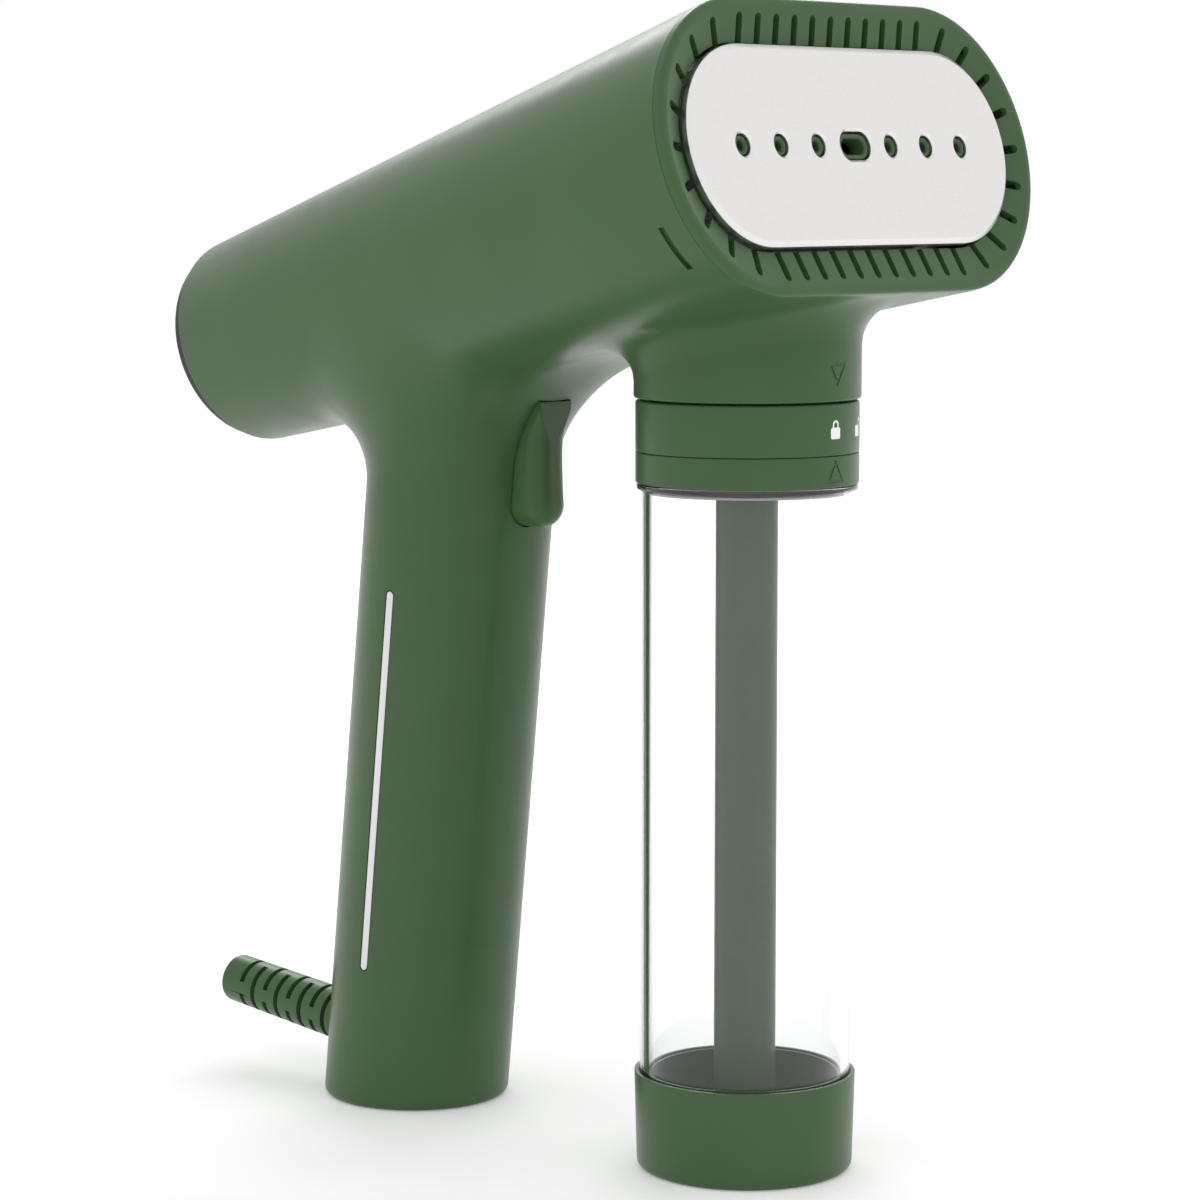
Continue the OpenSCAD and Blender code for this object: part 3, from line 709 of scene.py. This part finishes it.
def obround(half, r, arc=8):
    """Flat-sided slot outline along x."""
    return [(side * half + r * math.cos(math.radians(start + 180 * k / arc)),
             r * math.sin(math.radians(start + 180 * k / arc)))
            for side, start in ((1, -90), (-1, 90)) for k in range(arc + 1)]


STRIP_LOW = 34.5        # the strip's ends, up the handle
STRIP_HIGH = 127.5
STRIP_Y = -0.8          # forward of the handle's axis
STRIP_HALF = 1.1        # half its width
STRIP_BED = HANDLE_R - 0.9
STRIP_LONG = (STRIP_HIGH - STRIP_LOW) / 2 - STRIP_HALF  # half its straight length


def strip_place(side):
    """Frame on the handle's flank: x up the handle, z outwards."""
    turn = Matrix(((0, 0, side, 0), (0, -side, 0, 0), (1, 0, 0, 0), (0, 0, 0, 1)))
    middle = (STRIP_LOW + STRIP_HIGH) / 2
    return HANDLE @ Matrix.Translation((0, STRIP_Y, middle)) @ turn


def arrow(name, radius, z, up, width=6.2, height=5.1, inner=0.6, deep=0.25):
    """Cutter for an engraved outline of a triangle on the front of a collar."""
    s = 1 if up else -1
    even = 0.31         # share of the height that keeps the outline's three sides alike
    clear = 3           # how far the cutter stands out of the collar
    place = Matrix(((1, 0, 0, 0), (0, 0, -1, -radius), (0, 1, 0, z), (0, 0, 0, 1)))
    outer = [(-width / 2, 0.0), (width / 2, 0.0), (0.0, s * height)]
    shift = s * height * (1 - inner) * even
    hole = [(x * inner, y * inner + shift) for x, y in outer]
    verts = [(x, y, h) for h in (-deep, clear) for ring in (outer, hole) for x, y in ring]
    faces = []
    for i in range(3):
        j = (i + 1) % 3
        faces.append((i, j, 3 + j, 3 + i))
        faces.append((6 + i, 6 + j, 9 + j, 9 + i))
        faces.append((i, j, 6 + j, 6 + i))
        faces.append((3 + i, 3 + j, 9 + j, 9 + i))
    return piece(name, verts, faces, place)


def strip_bed(side):
    """Cutter for the groove that a strip lies in."""
    gap = 0.22
    outline = obround(STRIP_LONG, STRIP_HALF + gap, 10)
    return prism("bed", outline, STRIP_BED, HANDLE_R + 3, strip_place(side))


def catch_slot(side):
    """Cutter for the short curved slot behind the bezel, low on each side of the head."""
    start = math.radians(-50 if side > 0 else -151)
    depth, low, high = 10.4, 0.1, 1.9
    inner, outer = HEAD_R - 2.2, HEAD_R + 2.4
    place = HEAD @ Matrix.Translation((side * (HEAD_W / 2 - HEAD_R), -RIM_DROP, -depth))
    place = place @ Matrix.Rotation(start, 4, "Z")
    outline = [(inner, low, 0), (outer, low, 0), (outer, high, 0), (inner, high, 0)]
    return lathe("catch", outline, place, 12, sweep=math.radians(21))


def shell_cutters():
    """Everything cut out of the shell: trigger slot, strip beds, catch slots, relief hole, mark."""
    along_y = Matrix(((1, 0, 0, 0), (0, 0, 1, 0), (0, 1, 0, 0), (0, 0, 0, 1)))
    outline = front_outline(TRIGGER_HALF + TRIGGER_GAP, TRIGGER_LOW, TRIGGER_TOP + 0.15)
    cutters = [prism("slot", outline, 46, 78, along_y)]
    for side in (-1, 1):
        cutters.append(strip_bed(side))
        cutters.append(catch_slot(side))
    relief_hole, hole_start, hole_end = 6.7, 12, 30
    cutters.append(prism("gland", obround(0.0, relief_hole, 24), hole_start, hole_end, RELIEF))
    return [*cutters, arrow("mark", COLLAR_R, 183.4, False)]


# ---------------------------------------------------------------- steam head
def build_bezel():
    """Sloping band round the steam plate, cut by vent grooves."""
    half = HEAD_W / 2 - HEAD_R
    plate_gap = 0.5
    open_half, open_r = PLATE_W / 2 - PLATE_R, PLATE_R + plate_gap
    rim, width, deep, lip = 1.2, 9.0, 8.0, 4.0

    def row(inset, depth, u):
        """Stadium at u from the head's outline, 0, to the plate's, 1."""
        return (half + (open_half - half) * u, (HEAD_R - inset) * (1 - u) + open_r * u,
                RIM_DROP * (1 - u), depth)

    front = rounded([(0.0, BEZEL_EDGE, 0), (0.0, 0.0, 0.9), (1.5, 0.0, 0.6), (8.6, 2.6, 0.35),
                     (width, deep, 0)], 4)
    rows = [row(inset, depth, min(1.0, max(0.0, (inset - rim) / (width - rim))))
            for inset, depth in front]
    rows += [row(lip, deep, 0.0), row(lip, BEZEL_EDGE, 0.0)]
    bezel = loft("bezel_band", rows, smooth=28)
    cutters = []
    groove_r, length, floor, clear = 1.0, 7.0, -4.2, 3
    reach, pitch, per_side, per_end = HEAD_R - 3.4, 6.2, 11, 9

    def groove(x, angle):
        place = HEAD @ Matrix.Translation((x, -RIM_DROP, 0)) @ Matrix.Rotation(angle, 4, "Z")
        outline = obround(length / 2, groove_r)
        shifted = [(px + reach - length / 2 - groove_r, py) for px, py in outline]
        cutters.append(prism("groove", shifted, floor, clear, place))

    for i in range(per_side):
        for s in (-1, 1):
            groove((i - (per_side - 1) / 2) * pitch, s * math.pi / 2)
    for i in range(1, per_end + 1):
        for s in (0, 1):
            groove((1 - 2 * s) * half, s * math.pi - math.pi / 2 + i * math.pi / (per_end + 1))
    carve(bezel, cutters, 28)
    return stand_for(bezel, "front_bezel")


def jets():
    """Places of the six round jets, left and right of the oblong one."""
    return [i * JET_PITCH for i in range(-3, 4) if i]


def build_plate():
    """Steam plate with a soft bevel, six countersunk jets and an oblong one."""
    half = PLATE_W / 2 - PLATE_R
    inner = 6.0         # these two corners only steer the arcs, as the skin's ends are capped
    edge = rounded([(0.0, PLATE_T, 0.15), (0.0, 0.8, 0.4), (1.2, 0.0, 0.5), (inner, 0.0, 0),
                    (inner, PLATE_T, 0)], 5)
    rows = [(half, PLATE_R - inset, 0, depth) for inset, depth in edge if inset < inner]
    plate = loft("plate_face", rows, closed=False, smooth=40)
    sink_r = JET_R + 0.62
    hole = [(0, -4, 0), (JET_R, -4, 0), (JET_R, -0.55, 0.25), (sink_r, 0.05, 0), (sink_r, 2, 0),
            (0, 2, 0)]
    cutters = [lathe("hole", hole, HEAD @ Matrix.Translation((x, 0, 0)), 32) for x in jets()]
    carve(plate, cutters, 40)
    hole_r, top_r = 3.2, 3.75
    oblong = [(OBLONG_HALF, hole_r, 0, 4), (OBLONG_HALF, hole_r, 0, 0.5),
              (OBLONG_HALF, top_r, 0, -0.05), (OBLONG_HALF, top_r, 0, -2)]
    carve(plate, [loft("oblong", oblong, closed=False)], 40)
    return stand_for(plate, "steam_plate")


def build_nozzles():
    """Green nozzle rings seen in the plate's holes, on the carrier behind the plate."""
    bore_r, ring_r, root = 1.1, 2.2, 4.2
    ring = [(bore_r, -root, 0), (ring_r, -root, 0), (ring_r, -1.0, 0.3), (1.45, -1.0, 0.25),
            (bore_r, -1.5, 0.1)]
    parts = [lathe("jet", ring, HEAD @ Matrix.Translation((x, 0, 0)), 32) for x in jets()]
    half, outer, bore = OBLONG_HALF, 2.9, 1.75
    rows = [(half, outer, 0, root), (half, outer, 0, 1.3), (half, 2.7, 0, 1.0),
            (half, 2.0, 0, 1.0), (half, bore, 0, 1.3), (half - 0.3, 1.7, 0, root)]
    parts.append(loft("oblong_jet", rows))
    carrier = loft("carrier", [(39, 11, 0, 4.1), (39, 11, 0, 5.3)], closed=False)
    bores = [lathe("bore", [(0, -8, 0), (bore_r, -8, 0), (bore_r, 2, 0), (0, 2, 0)],
                   HEAD @ Matrix.Translation((x, 0, 0)), 24) for x in jets()]
    bores.append(loft("oblong_bore", [(half, bore, 0, 2), (half, bore, 0, 8)], closed=False))
    parts.append(carve(carrier, bores))
    made = join("nozzle_rings", parts)
    shade(made)
    return stand_for(made, "nozzle_insert")


# ---------------------------------------------------------------- trigger
def both(a, b, soft):
    """Intersection of two fields with a round edge."""
    reach = np.hypot(np.maximum(a + soft, 0), np.maximum(b + soft, 0))
    return np.minimum(-soft, np.maximum(a, b)) + reach


PAD_LOW, PAD_LENGTH = 147, 24           # stretch of height that the pad's shape is drawn over
PAD_FRONT, PAD_HOLLOW = 57.6, 0.5       # its front face, and the hollow halfway up
PAD_BACK, BACK_LEAN = 72.3, 1.6         # its back, which leans forward going up
PAD_FOOT, FOOT_SOFT = 142.0, 3.2        # its lower end and that end's rounding
FLARE_LOW, FLARE_FILLET = 160, 6.0      # above this height it blends into the handle's flare
SOFT_TOP, SOFT_MORE = 1.2, 3.3          # rounding of its front edges at the top, and added below
SOFT_HEIGHT, SOFT_FADE = 171, 8         # where that starts, and the height it takes
SKIN_SET_BACK = 0.1                     # keeps the pad just under the flare's surface


def trigger_field(p):
    """Soft pad with a waisted front that runs up flush into the handle's flare."""
    y, z = p[:, 1], p[:, 2]
    t = np.clip((z - PAD_LOW) / PAD_LENGTH, 0, 1)
    pad = PAD_FRONT + PAD_HOLLOW * np.sin(t * math.pi) - y
    flare = np.maximum(shell_field(p) + SKIN_SET_BACK, FLARE_LOW - z)
    front = fillet(pad, flare, FLARE_FILLET)
    side = np.hypot(p[:, 0], np.minimum(z - TRIGGER_LOW, 0)) - TRIGGER_HALF
    back = y - (PAD_BACK - BACK_LEAN * t)
    soft = SOFT_TOP + SOFT_MORE * np.clip((SOFT_HEIGHT - z) / SOFT_FADE, 0, 1)
    body = both(both(front, side, soft), back, 1.5)
    body = np.maximum(body, both(pad, PAD_FOOT - z, FOOT_SOFT))
    return np.maximum(body, z - TRIGGER_TOP)


def build_trigger():
    lo, hi = span("trigger")
    step = 0.45
    points, quads = skin(trigger_field, lo - 8, hi + 3, step)
    made = piece("trigger_pad", points, quads, smooth=50)
    skin_normals(made, trigger_field)
    return stand_for(made, "trigger")


# ---------------------------------------------------------------- handle fittings
def build_strip(side, node):
    """Metal inlay, crowned along its length, in its bed on the handle's flank."""
    top, soft, bevel = HANDLE_R + 0.1, 0.35, 0.12
    place = strip_place(side)
    rows = []
    for r, z in ((STRIP_HALF, STRIP_BED), (STRIP_HALF, top - soft),
                 (STRIP_HALF - bevel, top - bevel), (STRIP_HALF - soft, top)):
        rows.append([(x, y, z - (y * y) / (2 * HANDLE_R)) for x, y in obround(STRIP_LONG, r, 10)])
    n = len(rows[0])
    verts = [p for row in rows for p in row]
    faces = [(k * n + i, k * n + (i + 1) % n, (k + 1) * n + (i + 1) % n, (k + 1) * n + i)
             for k in range(len(rows) - 1) for i in range(n)]
    faces += [tuple(range(n)), tuple(reversed(range((len(rows) - 1) * n, len(rows) * n)))]
    name = node.replace("handle_strip", "inlay")
    return stand_for(piece(name, verts, faces, place), node)


def build_relief():
    """Strain relief: a soft sleeve cut by staggered slots, with a plain collar at its end."""
    bore_r, flange_r, root_r, tip_r, core_r = 3.3, 8, 6.4, 6.0, 4.7
    flange_start, flange_end, tip = 12.6, 15.2, 65.6
    sleeve = lathe("relief_sleeve", [(bore_r, flange_start, 0), (flange_r, flange_start, 0),
                                     (flange_r, flange_end, 0), (root_r, flange_end, 0),
                                     (tip_r, tip, 0.7), (bore_r, tip, 0.3)], RELIEF, 96)
    first, pitch, slots, width, skew = 27.44, 4.28, 8, 1.5, 15
    cutters = []
    for i in range(slots):
        for side in (0, 180):
            turn = math.radians(side + 90 * ((i + 1) % 2) + skew)
            place = RELIEF @ Matrix.Rotation(turn, 4, "Z")
            z = first + i * pitch
            outline = [(core_r, z, 0), (flange_r, z, 0), (flange_r, z + width, 0),
                       (core_r, z + width, 0)]
            cutters.append(lathe("slot", outline, place, 40, sweep=math.radians(150)))
    carve(sleeve, cutters, 35)
    in_relief = to_local(RELIEF)

    def cone_field(p):
        q = in_relief(p)
        t = (q[:, 2] - flange_end) / (tip - flange_end)
        return np.hypot(q[:, 0], q[:, 1]) - (root_r - (root_r - tip_r) * t)

    skin_normals(sleeve, cone_field, 0.06)
    return stand_for(sleeve, "strain_relief")


def build_end_cap():
    """Plug in the handle's foot, set back a little from its edge."""
    plug_r, low, high = 19.6, 0.35, 3.2
    cap = lathe("foot_plug", [(0, low, 0), (plug_r, low, 0.6), (plug_r, high, 0), (0, high, 0)],
                Matrix.Translation((0, HANDLE.translation.y - 0.1, 0)), 120)
    return stand_for(cap, "handle_end_cap")


# ---------------------------------------------------------------- rear end
def build_rear():
    """Gloss disc that closes the barrel, with its button and a small light."""
    back = Matrix.Translation((0, 0, -BARREL_L))
    place = HEAD @ back @ Matrix.Rotation(math.pi, 4, "X")
    disc_r, disc_out, hole_r, plug_r, plug_inner = 24.0, 3.0, 8.35, 22.7, 21
    panel = lathe("rear_disc", [(hole_r, 0.0, 0), (hole_r, disc_out, 0.3), (disc_r, disc_out, 0.35),
                                (disc_r, 0.02, 0), (plug_r, 0.02, 0), (plug_r, -4.5, 0),
                                (plug_inner, -4.5, 0), (plug_inner, -0.9, 0), (hole_r, -0.9, 0)],
                  place, 160)
    light_y, light_r, sides = -15, 1.25, 24
    bore = [(light_r * math.cos(a), light_y + light_r * math.sin(a))
            for a in np.linspace(0, TAU, sides + 1)[:-1]]
    carve(panel, [prism("light_hole", bore, -2, 4, place)])
    stand_for(panel, "rear_panel")
    button_r, skirt_r, button_out, dish_r = 8.0, 9.2, 3.5, 5.2
    button = lathe("press_button", [(0, -2.2, 0), (skirt_r, -2.2, 0), (skirt_r, -1.15, 0),
                                    (button_r, -1.15, 0), (button_r, button_out, 0.7),
                                    (5.6, button_out, 0.4), (dish_r, 3.15, 0.4), (0, 3.0, 0)],
                   place, 96)
    stand_for(button, "power_button")
    lens_r = 1.1
    lens = lathe("light_lens", [(0, -0.8, 0), (lens_r, -0.8, 0), (lens_r, 3.1, 0.3), (0, 3.2, 0)],
                 place @ Matrix.Translation((0, light_y, 0)), 32)
    stand_for(lens, "indicator_lens")


# ---------------------------------------------------------------- tank
def ring_field(radius):
    """Distance outside an upright cylinder on the tank's axis."""
    return lambda p: np.hypot(p[:, 0], p[:, 1]) - radius


def build_lock_ring():
    """Plain band with soft edges, a little higher than the CAD's for a finer gap above it."""
    lo, hi = span("lock_ring")
    low, high, inner = lo[2], hi[2] + 0.2, 22.9
    ring = lathe("lock_band", [(inner, low + 3.2, 0), (23.4, low, 0.2), (RING_R, low, 0.3),
                               (RING_R, high, 0.6), (23.3, high, 0.3), (inner, hi[2] - 2, 0)])
    return stand_for(ring, "lock_ring")


def padlock_strips(is_open):
    """Rows of (low, high) point pairs that make up a printed padlock, on its base line."""
    width, high, bow, line, corner = 3.2, 2.5, 1.0, 0.42, 0.35
    leg_low, leg_high = high - 0.1, high + 0.6
    xs = np.linspace(-width / 2, width / 2, 13)
    into_corner = np.maximum(np.abs(xs) - width / 2 + corner, 0)
    inset = corner - np.sqrt(np.maximum(corner**2 - into_corner**2, 0))
    body = [((x, i), (x, high - i)) for x, i in zip(xs, inset)]
    shift = width - bow - line if is_open else 0.0
    hoop = [((shift + (bow - line) * math.cos(a), leg_high + (bow - line) * math.sin(a)),
             (shift + bow * math.cos(a), leg_high + bow * math.sin(a)))
            for a in np.linspace(0, math.pi, 17)]

    def leg(left):
        return [((x, leg_low), (x, leg_high)) for x in (left, left + line)]

    legs = [leg(shift - bow)]
    if not is_open:
        legs.append(leg(bow - line))
    return [body, hoop, *legs]


def build_marks():
    """White padlocks printed round the ring, one closed and one open."""
    base = span("lock_marks")[0][2]
    sunk, proud = 0.05, 0.035
    verts, faces = [], []
    for is_open, turn in ((False, 0.0), (True, math.radians(25))):
        for strip in padlock_strips(is_open):
            for r in (RING_R - sunk, RING_R + proud):
                for pair in strip:
                    for x, z in pair:
                        a = turn + x / RING_R
                        verts.append((r * math.sin(a), -r * math.cos(a), base + z))
            count = len(strip)
            start = len(verts) - 4 * count
            top = start + 2 * count
            for i in range(count - 1):
                a, b, c, d = 2 * i, 2 * i + 1, 2 * i + 3, 2 * i + 2
                faces.append((top + a, top + b, top + c, top + d))
                faces.append((start + d, start + c, start + b, start + a))
                faces.append((start + a, top + a, top + d, start + d))
                faces.append((start + c, top + c, top + b, start + b))
            for i in (0, 2 * count - 2):
                faces.append((start + i, start + i + 1, top + i + 1, top + i))
    return stand_for(piece("padlocks", verts, faces), "lock_marks")


def build_collar():
    """Tank collar: a band with an engraved arrow, and a thin neck that the lock ring turns on."""
    lo, hi = span("tank_collar")
    top = lo[2] + 7
    bore, neck, neck_bore = 17.9, 22.75, 22.2
    collar = lathe("collar_band", [(bore, lo[2], 0), (RING_R, lo[2], 0.45), (RING_R, top, 0.25),
                                   (neck, top, 0), (neck, hi[2], 0.1), (neck_bore, hi[2], 0.1),
                                   (neck_bore, top, 0), (bore, top, 0)])
    carve(collar, [arrow("mark", RING_R, 157.2, True)])
    skin_normals(collar, ring_field(RING_R), 0.005)
    return stand_for(collar, "tank_collar")


def build_tube():
    """Clear tube with a thin flange at its top."""
    lo, hi = span("tank_tube")
    low, top = lo[2], hi[2] - 0.03
    flange, flange_r = hi[2] - 1.4, 24.8
    tube = lathe("clear_barrel", [(BORE_R, low, 0), (TUBE_R, low, 0), (TUBE_R, flange, 0.4),
                                  (flange_r, flange, 0.35), (flange_r, top, 0.35),
                                  (BORE_R, top, 0.2)], segments=256)
    return stand_for(tube, "tank_tube")


def build_stem():
    """Pickup stem with two crossed inlets near its foot."""
    lo, hi = span("pickup_stem")
    low, high, bore = lo[2], hi[2], 2
    stem = lathe("stem_tube", [(bore, low + 2, 0), (bore, low, 0), (STEM_R, low, 0.3),
                               (STEM_R, high, 0.3), (bore, high, 0)], segments=96)
    cutters = []
    for turn in (0, math.pi / 2):
        place = Matrix.Rotation(turn, 4, "Z") @ Matrix.Translation((0, 0, low + 3.4))
        place = place @ Matrix.Rotation(math.pi / 2, 4, "Y")
        cutters.append(prism("inlet", obround(0.0, 1.2), -10, 10, place))
    carve(stem, cutters[:1])
    carve(stem, cutters[1:])
    skin_normals(stem, ring_field(STEM_R))
    return stand_for(stem, "pickup_stem")


def build_base_cap():
    """Base cap: a dish inside the tube, a slot for the tube's wall and a softly rounded foot."""
    top, slot_gap, slot_floor = span("tank_base_cap")[1][2], 0.12, 5.8
    foot_up, foot_inner, foot_outer = 3.0, 17.9, 20.8
    dish_r, dish_floor, underside = 21.1, 10, 7.4
    slot_r, slot_bore = TUBE_R + slot_gap, BORE_R - slot_gap
    cap = lathe("base_cup", [(0, underside, 0), (foot_inner, underside, 0.5),
                             (foot_inner, foot_up, 0), (foot_outer, foot_up, 0),
                             (foot_outer, 0, 0.2), (24.45, 0, 2.0), (25.06, top, 0.22),
                             (slot_r, top, 0.15), (slot_r, slot_floor, 0),
                             (slot_bore, slot_floor, 0), (slot_bore, top - 0.05, 0.2),
                             (dish_r, top - 0.05, 0.2), (dish_r, dish_floor, 0.8),
                             (0, dish_floor, 0)], segments=220)
    stand_for(cap, "tank_base_cap")
    pad_r, pad_top = 20.6, 2.9
    foot_pad = lathe("foot_pad", [(0, 0.05, 0), (19.2, 0.05, 0.5), (pad_r, 0.9, 0.4),
                                  (pad_r, pad_top, 0), (0, pad_top, 0)], segments=140)
    stand_for(foot_pad, "base_foot")


# ---------------------------------------------------------------- studio
def build_studio():
    """Pale floor in white surroundings, which give most of the light."""
    floor_size = 12.0
    bpy.ops.mesh.primitive_circle_add(vertices=128, radius=floor_size, fill_type="NGON")
    floor = bpy.context.object
    floor.name = "studio_floor"
    m = Nodes("floor_paper")
    m.feed("Base Color", m.shades(m.noise(30, 3), (0.80, 0.80, 0.80), (0.82, 0.82, 0.82)))
    m.set(**{"Roughness": 0.9, "Specular IOR Level": 0.1, "Emission Color": (1, 1, 1, 1),
             "Emission Strength": 0.2})
    floor.data.materials.append(m.material)
    world = bpy.data.worlds.new("studio")
    world.use_nodes = True
    world.node_tree.nodes["Background"].inputs["Color"].default_value = (1, 1, 1, 1)
    world.node_tree.nodes["Background"].inputs["Strength"].default_value = 1.0
    scene.world = world
    scene.view_settings.view_transform = "Standard"


def soft_box(name, azimuth, distance, width, height, middle, power):
    """Area light aimed at the object's middle; azimuth 0 is the camera's side."""
    aim = Vector((0, 0.03, 0.13))
    a = CAMERA_AZIMUTH + math.radians(azimuth)
    spot = Vector((math.sin(a) * distance, -math.cos(a) * distance, middle))
    light = bpy.data.lights.new(name, "AREA")
    light.shape = "RECTANGLE"
    light.size, light.size_y = width, height
    light.energy = power
    lamp = bpy.data.objects.new(name, light)
    lamp.location = spot
    lamp.rotation_euler = (aim - spot).to_track_quat("-Z", "Y").to_euler()
    lamp.visible_camera = False
    scene.collection.objects.link(lamp)
    return lamp


CAMERA_SPOT = Vector((-0.6428, -0.5271, 0.2237))  # metres, in the row's frame
CAMERA_AZIMUTH = math.atan2(CAMERA_SPOT.x, -CAMERA_SPOT.y)
CAMERA_AIM = Vector((0.7428, 0.6599, -0.1127))
CAMERA_LENS = 111.8     # millimetres, on a 36 mm sensor


def build_camera():
    cam = bpy.data.cameras.new("camera")
    cam.lens = CAMERA_LENS
    cam.sensor_width = 36.0
    eye = bpy.data.objects.new("camera", cam)
    eye.location = CAMERA_SPOT
    eye.rotation_euler = CAMERA_AIM.to_track_quat("-Z", "Y").to_euler()
    scene.collection.objects.link(eye)
    scene.camera = eye


build_camera()
build_studio()
soft_box("back_box", azimuth=180, distance=1.6, width=1.6, height=0.5, middle=1.1, power=12.0)
build_shell()
build_bezel()
build_plate()
build_nozzles()
build_trigger()
build_strip(-1, "handle_strip_left")
build_strip(1, "handle_strip_right")
build_relief()
build_end_cap()
build_rear()
build_lock_ring()
build_marks()
build_collar()
build_tube()
build_stem()
build_base_cap()
